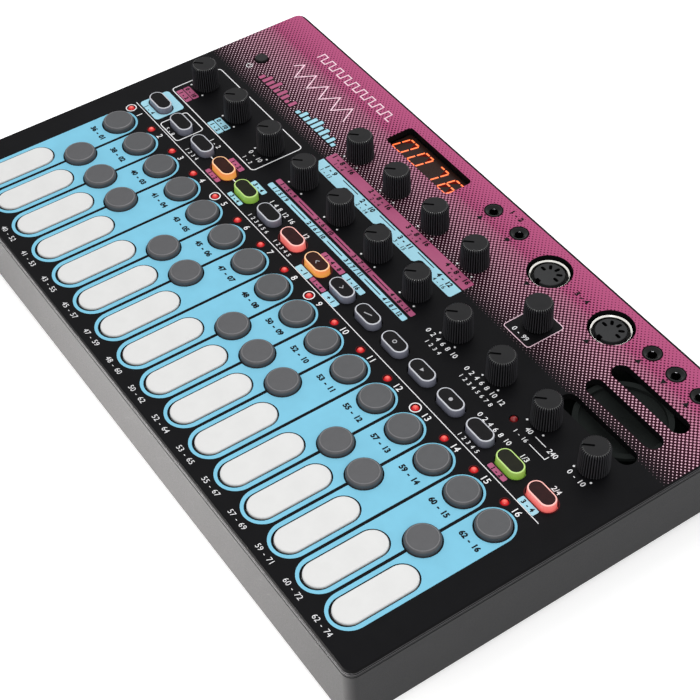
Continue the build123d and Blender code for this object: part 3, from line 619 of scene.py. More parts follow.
def rounded_box(left, right, front, rear, radius, steps=5):
    """A rectangle with round corners."""
    radius = min(radius, (right - left) / 2 - LEAST_STRAIGHT, (rear - front) / 2 - LEAST_STRAIGHT)
    points = arc(radius, 180, 270, steps, left + radius, front + radius)
    points += arc(radius, 270, 360, steps, right - radius, front + radius)
    points += arc(radius, 0, 90, steps, right - radius, rear - radius)
    points += arc(radius, 90, 180, steps, left + radius, rear - radius)
    return points


def stroke(points, width):
    """Outline of a line of even width through some points, with mitred corners."""
    spots = [Vector(point) for point in points]
    steps = [(after - before).normalized() for before, after in zip(spots, spots[1:])]
    left = []
    right = []
    for spot, before, after in zip(spots, steps[:1] + steps, steps + steps[-1:]):
        across = Vector((-before.y - after.y, before.x + after.x)).normalized()
        reach = across * (width / 2 / max(across.dot(Vector((-after.y, after.x))), MITRE_LIMIT))
        left.append(tuple(spot + reach))
        right.append(tuple(spot - reach))
    return left + right[::-1]


def shade(mesh):
    """Smooth shading that keeps the creases."""
    mesh.shade_smooth()
    mesh.set_sharp_from_angle(angle=CREASE_ANGLE)


class Solid:
    """Closed skins, in millimetres, gathered into one mesh."""

    def __init__(self):
        self.mesh = bmesh.new()

    def ring(self, outline, level):
        return [self.mesh.verts.new((x * MM, y * MM, level * MM)) for x, y in outline]

    def band(self, lower, upper, paint):
        """The faces between two rings of as many points."""
        for i in range(len(lower)):
            j = (i + 1) % len(lower)
            face = self.mesh.faces.new((lower[i], lower[j], upper[j], upper[i]))
            face.material_index = paint

    def skin(self, loops, paint=0, changes=()):
        """A skin through rising outlines, with flat ends; each change gives the paint from one loop on."""
        rings = [self.ring(outline, level) for outline, level in loops]
        paints = [paint] * len(rings)
        for start, other in changes:
            paints[start:] = [other] * (len(rings) - start)
        for i in range(1, len(rings)):
            self.band(rings[i - 1], rings[i], paints[i])
        self.mesh.faces.new(rings[0][::-1]).material_index = paint
        self.mesh.faces.new(rings[-1]).material_index = paints[-1]

    def turned(self, profile, x=0.0, y=0.0, paint=0, count=48):
        """A ring-shaped skin: a closed profile of radii and levels, turned about an upright axis."""
        rings = [self.ring(circle(radius, x, y, count), level) for radius, level in profile]
        for lower, upper in zip(rings, rings[1:] + rings[:1]):
            self.band(lower, upper, paint)

    def finish(self, name, *materials):
        bmesh.ops.recalc_face_normals(self.mesh, faces=self.mesh.faces)
        mesh = bpy.data.meshes.new(name)
        self.mesh.to_mesh(mesh)
        self.mesh.free()
        for material in materials:
            mesh.materials.append(material)
        shade(mesh)
        return mesh


def rotated(outline, angle):
    """An outline turned about the upright axis."""
    turn = Matrix.Rotation(angle, 2)
    return [tuple(turn @ Vector(point)) for point in outline]


def moved(loops, x, y):
    """Loops shifted across the panel."""
    return [([(u + x, v + y) for u, v in outline], level) for outline, level in loops]


def carve(mesh, cutter):
    """A mesh with the shape of another taken out of it."""
    collection = bpy.context.scene.collection
    block = bpy.data.objects.new("block", mesh)
    tool = bpy.data.objects.new("tool", cutter)
    for part in (block, tool):
        collection.objects.link(part)
    cut = block.modifiers.new("cut", "BOOLEAN")
    cut.operation = "DIFFERENCE"
    cut.solver = "EXACT"
    cut.object = tool
    depsgraph = bpy.context.evaluated_depsgraph_get()
    result = bpy.data.meshes.new_from_object(block.evaluated_get(depsgraph))
    for part in (block, tool):
        bpy.data.objects.remove(part)
    shade(result)
    return result


def piece(name, mesh, body, slot, *replaced, place=(0.0, 0.0)):
    """Puts a mesh on a body, in the place of the nodes that it replaces; its slot is not used."""
    made = bpy.data.objects.new(name, mesh)
    bpy.context.scene.collection.objects.link(made)
    made.location = (place[0] * MM, place[1] * MM, 0.0)
    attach(made, body)
    if replaced:
        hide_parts(*replaced)
    return made


def rounded_edge(outline, top, edge, steps=5):
    """Loops of a body's rounded top edge, ending in a narrow flat ring."""
    loops = []
    for i in range(steps + 1):
        angle = math.pi / 2 * i / steps
        loops.append((outline(edge * (math.cos(angle) - 1)), top - edge * (1 - math.sin(angle))))
    loops.append((outline(-edge - TOP_RING), top))
    return loops


def held_foot(outline, half_width):
    """Loops of a cap's hidden foot: the stem over its switch and the flange under the cover."""
    flange_bottom = PANEL - FLANGE_BOTTOM_DROP
    flange_top = PANEL - FLANGE_TOP_DROP
    stem = outline(STEM_RADIUS - half_width)
    return [
        (stem, STEM_BOTTOM),
        (stem, flange_bottom),
        (outline(FLANGE_REACH), flange_bottom),
        (outline(FLANGE_REACH), flange_top),
        (outline(0), flange_top),
    ]


def key_outline(reach):
    return stadium(KEY_LENGTH + 2 * reach, KEY_WIDTH + 2 * reach, upright=True)


def pad_outline(reach):
    return circle(PAD_RADIUS + reach)


def pill_outline(reach, x=0.0, y=0.0):
    return stadium(PILL_LENGTH + 2 * reach, PILL_WIDTH + 2 * reach, x, y)


def pill_top_outline(reach):
    return pill_outline(reach - PILL_TAPER)


def power_outline(reach):
    return circle(POWER_RADIUS + reach)


# Loops of a pad's rounded edge: shares of the edge that each lies in from the side and down from the top
PAD_ROUNDING = ((0, 1), (0.1, 0.62), (0.36, 0.3), (0.72, 0.1), (0.95, 0), (1.1, 0))
PAD_DISC_INSETS = (1.25, 1.4)
PAD_DISC_SINK = 0.06

# The loop that the first band of a pad's paler rim ends at, and how many bands the rim has; the paler grey
# is a painted highlight
PAD_HIGHLIGHT_LOOP = 9
PAD_HIGHLIGHT_BANDS = 2


def pad_loops():
    """A round pad: a bevel that rounds into the side, a thin rim and a flat disc just below it."""
    loops = held_foot(pad_outline, PAD_RADIUS)
    for inset, drop in PAD_ROUNDING:
        loops.append((pad_outline(-inset * PAD_EDGE), PAD_TOP - drop * PAD_EDGE))
    for inset in PAD_DISC_INSETS:
        loops.append((pad_outline(-inset * PAD_EDGE), PAD_TOP - PAD_DISC_SINK))
    return loops


def make_keys():
    """White keys, round accidental pads and step pads."""
    key = Solid()
    key.skin(held_foot(key_outline, KEY_WIDTH / 2) + rounded_edge(key_outline, KEY_TOP, KEY_EDGE))
    key_mesh = key.finish("white_key_cap", KEY_WHITE)
    for node in WHITE_KEYS:
        piece(node + "_cap", key_mesh, node, "key_white", node, place=middle(node).xy)
    # Each pad's rim takes the paler grey, a painted highlight
    rim = [(PAD_HIGHLIGHT_LOOP, 1), (PAD_HIGHLIGHT_LOOP + PAD_HIGHLIGHT_BANDS, 0)]
    pad = Solid()
    pad.skin(pad_loops(), 0, rim)
    pad_mesh = pad.finish("accidental_cap", PAD_GREY, PAD_RIM_HIGHLIGHT)
    for node in ACCIDENTALS:
        piece(node + "_cap", pad_mesh, node, "pad_grey", node, place=middle(node).xy)
    steps = Solid()
    for x, y in STEP_PLACES:
        steps.skin(moved(pad_loops(), x, y), 0, rim)
    mesh = steps.finish("step_pad_caps", STEP_GREY, PAD_RIM_HIGHLIGHT)
    piece("step_pad_caps", mesh, "step_pads", "pad_grey", "step_pads")


PILL_KINDS = (
    "grey", "grey", "grey", "orange", "green", "grey", "red", "orange",
    "grey", "grey", "grey", "grey", "grey", "grey", "green", "red",
)
GLOWING_KINDS = ("orange", "red")

# Steps of a button's rounded edge, and how many of its loops are painted like the walls
PILL_EDGE_STEPS = 4
PILL_WALL_LOOPS = 2


def make_pills():
    """Function buttons with clear walls, a pale rim and a dark window, and the power button."""
    loops = held_foot(pill_outline, PILL_WIDTH / 2)
    rim_from = len(loops) + PILL_WALL_LOOPS
    loops += rounded_edge(pill_top_outline, PILL_TOP, PILL_EDGE, PILL_EDGE_STEPS)
    loops.append((pill_outline(-PILL_WINDOW_INSET), PILL_TOP))
    window_from = len(loops)
    window_face = PILL_TOP - PILL_WINDOW_SINK
    for inset in (PILL_WINDOW_INSET, PILL_WINDOW_INSET + PILL_WINDOW_RING):
        loops.append((pill_outline(-inset), window_face))
    materials = []
    first_paint = {}
    for kind, paints in PILL_PAINTS.items():
        first_paint[kind] = len(materials)
        materials.extend(paints)
    pills = Solid()
    for (x, y), kind in zip(PILL_PLACES, PILL_KINDS):
        wall = first_paint[kind]
        pills.skin(moved(loops, x, y), wall, [(rim_from, wall + 1), (window_from, wall + 2)])
    mesh = pills.finish("pill_buttons", *materials)
    piece("pill_buttons", mesh, "function_buttons", "button_clear", "function_buttons")
    power = Solid()
    power.skin(held_foot(power_outline, POWER_RADIUS) + rounded_edge(power_outline, POWER_TOP, POWER_EDGE))
    mesh = power.finish("power_button_cap", BLACK_PLASTIC)
    place = middle("power_button").xy
    piece("power_button_cap", mesh, "power_button", "black_plastic", "power_button", place=place)


def fluted(radius, depth):
    """A circle with rounded flutes, its crests on the given radius."""
    points = []
    for i in range(FLUTES * POINTS_PER_FLUTE):
        angle = 2 * math.pi * i / (FLUTES * POINTS_PER_FLUTE)
        reach = radius - depth * (1 - math.cos(FLUTES * angle)) / 2
        points.append((reach * math.cos(angle), reach * math.sin(angle)))
    return points


# The loops that the first band of a knob's shiny rim and the first of its crown end at
KNOB_RIM_LOOP = 6
KNOB_CROWN_LOOP = 8


def knob_mesh(name, pointer):
    """A fluted knob, with a pointer groove across the top if it has one."""
    paints = (KNOB_SIDE_SHADED, KNOB_CROWN, BLACK_AND_GROOVE_SHADE, KNOB_RIM)
    side, crown, groove, rim = range(len(paints))
    flat = KNOB_TOP_RADIUS - KNOB_EDGE
    foot = KNOB_BOTTOM + KNOB_FOOT
    shoulder = KNOB_TOP - KNOB_EDGE
    bevel = fluted(flat + KNOB_BEVEL_REACH * KNOB_EDGE, KNOB_BEVEL_FLUTE * FLUTE_DEPTH)
    loops = [
        (fluted(KNOB_BASE_RADIUS - KNOB_FOOT_INSET, FLUTE_DEPTH), KNOB_BOTTOM),
        (fluted(KNOB_BASE_RADIUS, FLUTE_DEPTH), foot),
        (fluted(KNOB_BASE_RADIUS, FLUTE_DEPTH), foot + KNOB_EDGE_GUARD),
        (fluted(KNOB_TOP_RADIUS, FLUTE_DEPTH), shoulder - KNOB_EDGE_GUARD),
        (fluted(KNOB_TOP_RADIUS, FLUTE_DEPTH), shoulder),
        (bevel, KNOB_TOP - KNOB_BEVEL_DROP * KNOB_EDGE),
        (fluted(flat + KNOB_LIP, KNOB_LIP_FLUTE * FLUTE_DEPTH), KNOB_TOP - KNOB_LIP_DROP),
        (fluted(flat, 0.0), KNOB_TOP),
        (fluted(flat - KNOB_LIP, 0.0), KNOB_TOP),
    ]
    knob = Solid()
    knob.skin(loops, side, [(KNOB_RIM_LOOP, rim), (KNOB_CROWN_LOOP, crown)])
    mesh = knob.finish(name, *paints)
    if pointer:
        half = POINTER_WIDTH / 2
        outline = rounded_box(-half, half, POINTER_START, KNOB_BASE_RADIUS + PASS, POINTER_CORNER)
        outline = rotated(outline, math.radians(POINTER_ANGLE))
        cutter = Solid()
        # The groove's walls and floor take the near-black, painted shade
        cutter.skin([(outline, KNOB_TOP - POINTER_DEPTH), (outline, KNOB_TOP + PASS)], groove)
        mesh = carve(mesh, cutter.finish(name + "_groove", *paints))
    return mesh


def make_knobs():
    """Every knob, each on its own body, and the shafts under them."""
    shaft = Solid()
    rod = circle(SHAFT_RADIUS, count=ROD_POINTS)
    shaft.skin([(rod, SHAFT_BOTTOM), (rod, KNOB_BOTTOM)])
    shaft_mesh = shaft.finish("knob_shaft", STEEL)
    pointed = knob_mesh("pointer_knob", True)
    plain = knob_mesh("encoder_knob", False)
    for node in POT_KNOBS + ["value_encoder"]:
        mesh = plain if node == "value_encoder" else pointed
        place = middle(node).xy
        piece(node + "_grip", mesh, node, "knob_black", node, place=place)
        piece(node + "_shaft", shaft_mesh, node, "steel", place=place)


def make_lamps():
    """Small domed lamps."""
    base = LAMP_TOP - LAMP_RADIUS
    loops = [(circle(LAMP_RADIUS, count=SMALL_POINTS), base - LAMP_BODY)]
    for i in range(LAMP_STEPS):
        angle = math.pi / 2 * i / LAMP_STEPS
        ring = circle(LAMP_RADIUS * math.cos(angle), count=SMALL_POINTS)
        loops.append((ring, base + LAMP_RADIUS * math.sin(angle)))
    loops.append((circle(LAMP_TIP, count=SMALL_POINTS), LAMP_TOP))
    lamps = Solid()
    for number, (x, y) in enumerate(LAMP_PLACES, 1):
        lamps.skin(moved(loops, x, y), 0 if number <= len(STEP_PLACES) else 1)
    mesh = lamps.finish("lamp_domes", LAMP_RED, LAMP_DIM)
    piece("lamp_domes", mesh, "chassis", "lamp_red", "step_lamps")


# How far each point of a jack collar's lip lies in from the side and down from the top
JACK_LIP = ((0, 0.3), (0.1, 0.08), (0.3, 0), (0.55, 0.08))


def contact_outline():
    """The steel contact on the wall of a jack's bore."""
    points = []
    for radius, turns in ((JACK_BORE, (-1, 0, 1)), (JACK_BORE - JACK_CONTACT_SIZE, (1, 0, -1))):
        for turn in turns:
            angle = JACK_CONTACT_ANGLE + turn * JACK_CONTACT_TURN
            points.append((radius * math.cos(angle), radius * math.sin(angle)))
    return points


def make_jacks():
    """Dished jack collars, each with a ring and a contact, and the power inlet with its pin."""
    paints = (SOCKET_BLACK, STEEL, BLACK_AND_GROOVE_SHADE)
    black, steel, black_and_shade = range(len(paints))
    floor = PANEL - INLET_DEPTH
    throat = JACK_TOP - JACK_DISH
    collar = [(JACK_BORE, floor), (JACK_RADIUS, floor)]
    collar += [(JACK_RADIUS - inset, JACK_TOP - drop) for inset, drop in JACK_LIP]
    collar += [(JACK_BORE + JACK_THROAT_WIDTH, throat + JACK_THROAT_RISE), (JACK_BORE, throat)]
    inside = JACK_RADIUS + JACK_RING_GAP
    outside = inside + JACK_RING_WIDTH
    ring_foot = PANEL + JACK_RING_GAP
    ring = [(inside, ring_foot), (outside, ring_foot), (outside, JACK_TOP), (inside, JACK_TOP)]
    contact = [(contact_outline(), throat - JACK_CONTACT_HEIGHT), (contact_outline(), throat)]
    jacks = Solid()
    for x, y in JACK_PLACES:
        jacks.turned(collar, x, y, black)
        jacks.turned(ring, x, y, black_and_shade)
        jacks.skin(moved(contact, x, y), steel)
    inlet = [
        (INLET_BORE, floor),
        (INLET_RADIUS, floor),
        (INLET_RADIUS, PANEL - INLET_EDGE),
        (INLET_RADIUS - INLET_EDGE, PANEL),
        (INLET_BORE + INLET_MOUTH, PANEL),
        (INLET_BORE, PANEL - INLET_MOUTH),
    ]
    jacks.turned(inlet, *INLET_PLACE, black)
    pin = [
        (circle(INLET_PIN, count=SMALL_POINTS), floor),
        (circle(INLET_PIN, count=SMALL_POINTS), PANEL - INLET_PIN_SINK),
        (circle(INLET_TIP, count=SMALL_POINTS), PANEL - INLET_TIP_SINK),
    ]
    jacks.skin(moved(pin, *INLET_PLACE), steel)
    plate = circle(INLET_BORE + PLATE_REACH)
    for x, y in JACK_PLACES + [INLET_PLACE]:
        jacks.skin(moved([(plate, floor), (plate, floor + PLATE_THICKNESS)], x, y), black)
    mesh = jacks.finish("jack_collars", *paints)
    piece("jack_collars", mesh, "chassis", "black_plastic", "jack_sockets")


def make_round_sockets():
    """Round sockets with their shields and pin inserts."""
    rim = PANEL - SHIELD_SINK
    inner = SHIELD_RADIUS - SHIELD_WALL
    shield = [
        (inner, SOCKET_FLOOR),
        (SHIELD_RADIUS, SOCKET_FLOOR),
        (SHIELD_RADIUS, rim - SHIELD_LIP / 2),
        (SHIELD_RADIUS - SHIELD_LIP / 2, rim),
        (SHIELD_RADIUS - SHIELD_LIP, rim),
        (inner, rim - SHIELD_SLOPE),
    ]
    shields = Solid()
    for x, y in MIDI_PLACES:
        shields.turned(shield, x, y, count=SHIELD_POINTS)
    mesh = shields.finish("socket_shields", CHROME)
    piece("socket_shields", mesh, "chassis", "chrome", "midi_sockets")

    paints = (INSERT_GREY, BLACK_AND_GROOVE_SHADE)
    grey, black_and_shade = range(len(paints))
    insert = Solid()
    back = circle(SHIELD_RADIUS + BACK_REACH)
    insert.skin([(back, SOCKET_FLOOR - BACK_BOTTOM), (back, SOCKET_FLOOR - BACK_TOP)], grey)
    loops = [(circle(INSERT_RADIUS), SOCKET_FLOOR - INSERT_FOOT)]
    loops += rounded_edge(lambda reach: circle(INSERT_RADIUS + reach), rim, INSERT_EDGE)
    insert.skin(loops, grey)
    holes = Solid()
    # The pin holes and the key notch take the near-black, painted shade
    for i in range(PIN_COUNT):
        slot = stadium(PIN_SLOT_LENGTH, PIN_SLOT_WIDTH, x=PIN_CIRCLE, steps=PIN_SLOT_STEPS)
        slot = rotated(slot, math.pi * i / (PIN_COUNT - 1))
        holes.skin([(slot, rim - PIN_DEPTH), (slot, rim + PASS)], black_and_shade)
    half = NOTCH_WIDTH / 2
    notch = rounded_box(-half, half, -INSERT_RADIUS - PASS, -INSERT_RADIUS + NOTCH_DEPTH, NOTCH_CORNER)
    holes.skin([(notch, SOCKET_FLOOR + NOTCH_FLOOR), (notch, rim + PASS)], black_and_shade)
    mesh = carve(insert.finish("pin_insert", *paints), holes.finish("pin_holes", *paints))
    for number, place in enumerate(MIDI_PLACES, 1):
        piece(f"pin_insert_{number}", mesh, "chassis", "black_plastic", place=place)


SCREW_HEAD = 2.8
SCREW_SHANK = 1.5
RECESS_REACH = 1.5
RECESS_HALF_WIDTH = 0.35
RECESS_CORNER = 0.15
RECESS_DEPTH = 1.1

# How far each loop of a screw's head lies in from its side, and above the lowest point of the head
SCREW_ROUNDING = ((0.9, 0), (0.3, 0.25), (0, 0.8), (0, 2.2))


def make_screws():
    """Pan-head screws in their wells under the case, each with a cross recess."""
    low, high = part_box("case_screws")
    seat = low.z / MM
    loops = [(circle(SCREW_HEAD - inset, count=ROD_POINTS), seat + rise) for inset, rise in SCREW_ROUNDING]
    shank = circle(SCREW_SHANK, count=ROD_POINTS)
    loops += [(shank, loops[-1][1]), (shank, high.z / MM)]
    screw = Solid()
    screw.skin(loops)
    mesh = screw.finish("screw", STEEL)
    arm = rounded_box(-RECESS_REACH, RECESS_REACH, -RECESS_HALF_WIDTH, RECESS_HALF_WIDTH, RECESS_CORNER)
    for outline in (arm, [(-y, x) for x, y in arm]):
        recess = Solid()
        recess.skin([(outline, seat - PASS), (outline, seat + RECESS_DEPTH)])
        mesh = carve(mesh, recess.finish("recess", STEEL))
    for number, place in enumerate(SCREW_PLACES, 1):
        made = piece(f"case_screw_{number}", mesh, "chassis", "steel", place=place)
        if number == 1:
            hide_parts("case_screws")


NUMERAL_SIZE = 0.69
WORD_SPACE = 1.7
NUMERAL_STEPS = 3


class Ink:
    """Flat shapes of one ink, raised a hair above the surface that carries them."""

    def __init__(self, name, material, level, layer=0, body="chassis", slot="panel"):
        self.name = name
        self.material = material
        self.low = level - INK_SINK + layer * INK_RISE
        self.high = level + (layer + 1) * INK_RISE
        self.body = body
        self.slot = slot
        self.outlines = []
        self.words = []

    def fill(self, *outlines):
        """Areas; an outline inside another is a hole."""
        self.outlines.extend(outlines)

    def line(self, points, width):
        self.outlines.append(stroke(points, width))

    def frame(self, left, right, front, rear, radius, width):
        """A rounded frame, from its outer edge inwards."""
        self.fill(rounded_box(left, right, front, rear, radius))
        inner = rounded_box(left + width, right - width, front + width, rear - width, radius - width)
        self.fill(inner)

    def number(self, text, x, y, height, bold=0.0):
        """Numerals, by their middle."""
        self.words.append((text, x, y, height, bold))

    def flat_mesh(self, curve):
        """A closed slab from a flat curve or text."""
        curve.dimensions = "2D"
        curve.fill_mode = "BOTH"
        curve.extrude = (self.high - self.low) / 2
        holder = bpy.data.objects.new(self.name + "_outline", curve)
        mesh = bpy.data.meshes.new_from_object(holder)
        bpy.data.objects.remove(holder)
        return mesh

    def outline_mesh(self):
        curve = bpy.data.curves.new(self.name, "CURVE")
        for outline in self.outlines:
            spline = curve.splines.new("POLY")
            spline.points.add(len(outline) - 1)
            for point, (x, y) in zip(spline.points, outline):
                point.co = (x, y, 0.0, 1.0)
            spline.use_cyclic_u = True
        return self.flat_mesh(curve)

    def word_mesh(self, text, x, y, height, bold):
        curve = bpy.data.curves.new(self.name, "FONT")
        curve.body = text
        curve.resolution_u = NUMERAL_STEPS
        curve.offset = bold
        curve.space_word = WORD_SPACE
        mesh = self.flat_mesh(curve)
        xs = [vert.co.x for vert in mesh.vertices]
        ys = [vert.co.y for vert in mesh.vertices]
        scale = height / NUMERAL_SIZE
        fitted = Matrix.Translation((x, y, 0.0)) @ Matrix.Diagonal((scale, scale, 1.0, 1.0))
        centred = Matrix.Translation((-(min(xs) + max(xs)) / 2, -(min(ys) + max(ys)) / 2, 0.0))
        mesh.transform(fitted @ centred)
        return mesh

    def make(self):
        """Joins the shapes into one piece."""
        meshes = [self.word_mesh(*word) for word in self.words]
        if self.outlines:
            meshes.append(self.outline_mesh())
        joined = bmesh.new()
        for mesh in meshes:
            joined.from_mesh(mesh)
            bpy.data.meshes.remove(mesh)
        bmesh.ops.remove_doubles(joined, verts=joined.verts, dist=INK_WELD)
        bmesh.ops.recalc_face_normals(joined, faces=joined.faces)
        height = Matrix.Translation((0.0, 0.0, (self.low + self.high) / 2))
        joined.transform(Matrix.Scale(MM, 4) @ height)
        result = bpy.data.meshes.new(self.name)
        joined.to_mesh(result)
        joined.free()
        result.materials.clear()
        result.materials.append(self.material)
        return piece(self.name, result, self.body, self.slot)


# One cycle of each wave, in shares of its width and height
WAVE_SHAPES = {
    "triangle": [(0, 0), (0.25, 0.5), (0.75, -0.5)],
    "square": [(0, -0.5), (0.02, 0.5), (0.48, 0.5), (0.52, -0.5), (0.98, -0.5)],
}


def wave(shape, cycles, left, y, width, height):
    """Points of a wave, cycle by cycle from its left end."""
    points = []
    for cycle in range(cycles):
        x = left + width * (cycle + 0.5)
        points += [(x + (u - 0.5) * width, y + v * height) for u, v in WAVE_SHAPES[shape]]
    return points


COLUMN_STEPS = 20
PAD_NEAR = 1.0
NOTE_NUMBERS = (36, 38, 40, 41, 43, 45, 47, 48, 50, 52, 53, 55, 57, 59, 60, 62)


def column_outline(x):
    """A keyboard column: round at both ends, with a bite out of each side that has an accidental pad."""
    half = (COLUMN_PITCH - COLUMN_GAP) / 2
    points = arc(half, 180, 360, COLUMN_STEPS, x, COLUMN_FRONT)
    for side in (1, -1):
        bite_x = x + side * COLUMN_PITCH / 2
        span = math.degrees(math.acos(COLUMN_GAP / 2 / BITE_RADIUS))
        if any(abs(bite_x - pad) < PAD_NEAR for pad in ACCIDENTAL_X):
            first, last = (180 + span, 180 - span) if side == 1 else (span, -span)
            points += arc(BITE_RADIUS, first, last, COLUMN_STEPS, bite_x, ACCIDENTAL_ROW)
        if side == 1:
            points += arc(half, 0, 180, COLUMN_STEPS, x, STEP_ROW)
    return points


COLUMN_LABEL_Y = STEP_ROW - 10.1
STEP_NUMBER_Y = STEP_ROW + 9.8
FRONT_LABEL_Y = -84.2
OCTAVE = 12
LABEL_SHIFT = 0.4
NUMBER_SHIFT = 0.2


def print_columns(inks):
    """Blue columns under the keys, with their openings, and the numbers on, behind and in front of them."""
    edge = HOLE_CLEARANCE + HOLE_SHADE_RING
    for number, (x, note) in enumerate(zip(COLUMN_X, NOTE_NUMBERS), 1):
        inks["blue"].fill(column_outline(x))
        # Each opening leaves a ring of black panel round its key or pad, longer in front of the key: partly
        # print clearance, partly painted shade
        opening = KEY_LENGTH + 2 * edge + KEY_FRONT_SHADE
        middle_y = KEY_ROW - KEY_FRONT_SHADE / 2
        inks["blue"].fill(stadium(opening, KEY_WIDTH + 2 * edge, x, middle_y, upright=True))
        inks["blue"].fill(circle(PAD_RADIUS + edge, x, STEP_ROW))
        label = f"{note} - {number:02d}"
        inks["black"].number(label, x + LABEL_SHIFT, COLUMN_LABEL_Y, LABEL_HEIGHT, BLACK_BOLD)
        inks["white"].number(str(number), x + NUMBER_SHIFT, STEP_NUMBER_Y, STEP_NUMBER_HEIGHT, BOLD)
        inks["white"].number(f"{note} - {note + OCTAVE}", x, FRONT_LABEL_Y, LABEL_HEIGHT, THIN)


STEP_LINE_Y = -3.35
STEP_LINE_ENDS = (-136.0, 136.0)
LAMP_HOLE_GAP = 0.1
RINGED_EVERY = 4


def print_lamps(inks):
    """Painted glow of lamp light on the panel round the lit lamps, rings round every fourth of them and the
    line behind the row.
    """
    step_lamps = LAMP_PLACES[:len(STEP_PLACES)]
    hole = LAMP_RADIUS + LAMP_HOLE_GAP
    ring_hole = LAMP_RING_RADIUS - LAMP_RING_WIDTH
    for number, (x, y) in enumerate(step_lamps):
        ringed = number % RINGED_EVERY == 0
        inks["glow"].fill(circle(ring_hole if ringed else LAMP_GLOW_RADIUS, x, y), circle(hole, x, y))
        if ringed:
            inks["white"].fill(circle(LAMP_RING_RADIUS, x, y), circle(ring_hole, x, y))
    inks["white"].line([(end, STEP_LINE_Y) for end in STEP_LINE_ENDS], HAIRLINE)


FRONT_TAG = (-2.2, -0.1)
LONG_TAG = (-3.1, -0.1)
REAR_TAG = (8.7, 11.3)
TAG_CORNER = 0.5
TAG_NUMBER_SHARE = 0.75
FRONT_NUMBER_Y = -1.3
REAR_NUMBER_Y = 9.9
FIRST_PLATE = (-135.1, -120.7, -2.4, 11.5)
SECOND_FRAME = (-118.2, -103.7, -2.5, 10.8)
PLATE_CORNER = 1.6
JOINED_PILLS = ((2, 3), (3, 4))

# Ink of each tag, the button and shift of its left end and of its right end, its depth and its numbers
PILL_TAGS = (
    ("rose", 3, -4.6, 3, 4.6, FRONT_TAG, "1 - 2"),
    ("ice", 4, -4.5, 4, 4.6, FRONT_TAG, "3 - 4"),
    ("rose", 3, -4.6, 3, 4.6, REAR_TAG, "1 - 2"),
    ("ice", 4, -4.5, 4, 4.6, REAR_TAG, "3 - 4"),
    ("rose", 7, -4.8, 7, 9.0, REAR_TAG, "1 - 4 - 8"),
    ("ice", 8, -7.4, 8, 5.4, REAR_TAG, "1 - 16"),
    ("ice", 7, -4.6, 7, 3.6, LONG_TAG, "- 1"),
    ("ice", 8, -3.7, 8, 4.8, LONG_TAG, "+ 1"),
    ("rose", 7, 4.0, 8, -4.2, FRONT_TAG, "1 - 4"),
    ("rose", 14, -4.9, 14, 4.2, FRONT_TAG, "1 - 2"),
    ("ice", 15, -4.4, 15, 4.2, LONG_TAG, "3 - 4"),
)
PAGE_NUMBERS = ((14, "1/3"), (15, "2/4"))
PAGE_SHIFT = 0.4

# Button, and the numbers in front of it and behind it
PILL_NUMBERS = (
    (2, "1 2 3 4", "1 - 2"),
    (5, "1 2 3 4 5 6", "1 4 8 12 16"),
    (6, "1 2 3 4 5", "12"),
    (13, "1 2 3 4 5", "0 2 4 6 8 10"),
)
PILL_NUMBER_SHIFT = 0.8


def print_tag(inks, ink, left, right, front, rear, numbers):
    """A coloured tag with black numbers."""
    inks[ink].fill(rounded_box(left, right, front, rear, TAG_CORNER))
    height = min(SMALL_HEIGHT, TAG_NUMBER_SHARE * (rear - front))
    inks["black"].number(numbers, (left + right) / 2, (front + rear) / 2, height, BLACK_BOLD)


def print_pill_labels(inks):
    """Tags, frames and numbers in front of the function buttons and behind them."""
    white = inks["white"]
    x = [place[0] for place in PILL_PLACES]
    inks["ice"].fill(rounded_box(*FIRST_PLATE, PLATE_CORNER))
    inks["ice"].fill(pill_outline(HOLE_CLEARANCE, x[0], PILL_ROW))
    inks["black"].number("1 - 4", x[0], FRONT_NUMBER_Y, LABEL_HEIGHT, BOLD)
    white.frame(*SECOND_FRAME, PLATE_CORNER, FRAME_LINE)
    white.number("5 - 8", x[1], FRONT_NUMBER_Y, SMALL_HEIGHT)
    reach = PILL_LENGTH / 2 + HOLE_CLEARANCE
    for left, right in JOINED_PILLS:
        white.line([(x[left] + reach, PILL_ROW), (x[right] - reach, PILL_ROW)], FRAME_LINE)
    for ink, first, left, last, right, depth, numbers in PILL_TAGS:
        print_tag(inks, ink, x[first] + left, x[last] + right, *depth, numbers)
    for button, numbers in PAGE_NUMBERS:
        white.number(numbers, x[button] + PAGE_SHIFT, REAR_NUMBER_Y + PAGE_SHIFT, LABEL_HEIGHT, BOLD)
    for button, front, rear in PILL_NUMBERS:
        white.number(front, x[button] + PILL_NUMBER_SHIFT, FRONT_NUMBER_Y, SMALL_HEIGHT)
        white.number(rear, x[button] + PILL_NUMBER_SHIFT, REAR_NUMBER_Y, LABEL_HEIGHT, BOLD)
    # A painted glow of the buttons' light on the panel round each orange and red button
    for (u, v), kind in zip(PILL_PLACES, PILL_KINDS):
        if kind in GLOWING_KINDS:
            inks["glow"].fill(pill_outline(PILL_GLOW + HOLE_CLEARANCE, u, v))
            inks["glow"].fill(pill_outline(HOLE_CLEARANCE, u, v))


# Marks on the windows of the function buttons, about the middle of each window
ARROW_MARK = ((0.6, 0.9), (-0.5, 0), (0.6, -0.9))
SLASH_MARK = ((-1.6, -0.7), (1.6, 0.7))
PLAY_MARK = ((-0.6, -0.8), (0.9, 0), (-0.6, 0.8))
RING_MARK = (0.9, 0.55)
DOT_MARK = 0.8
MARK_POINTS = 20
MARKED_BUTTONS = slice(7, 13)


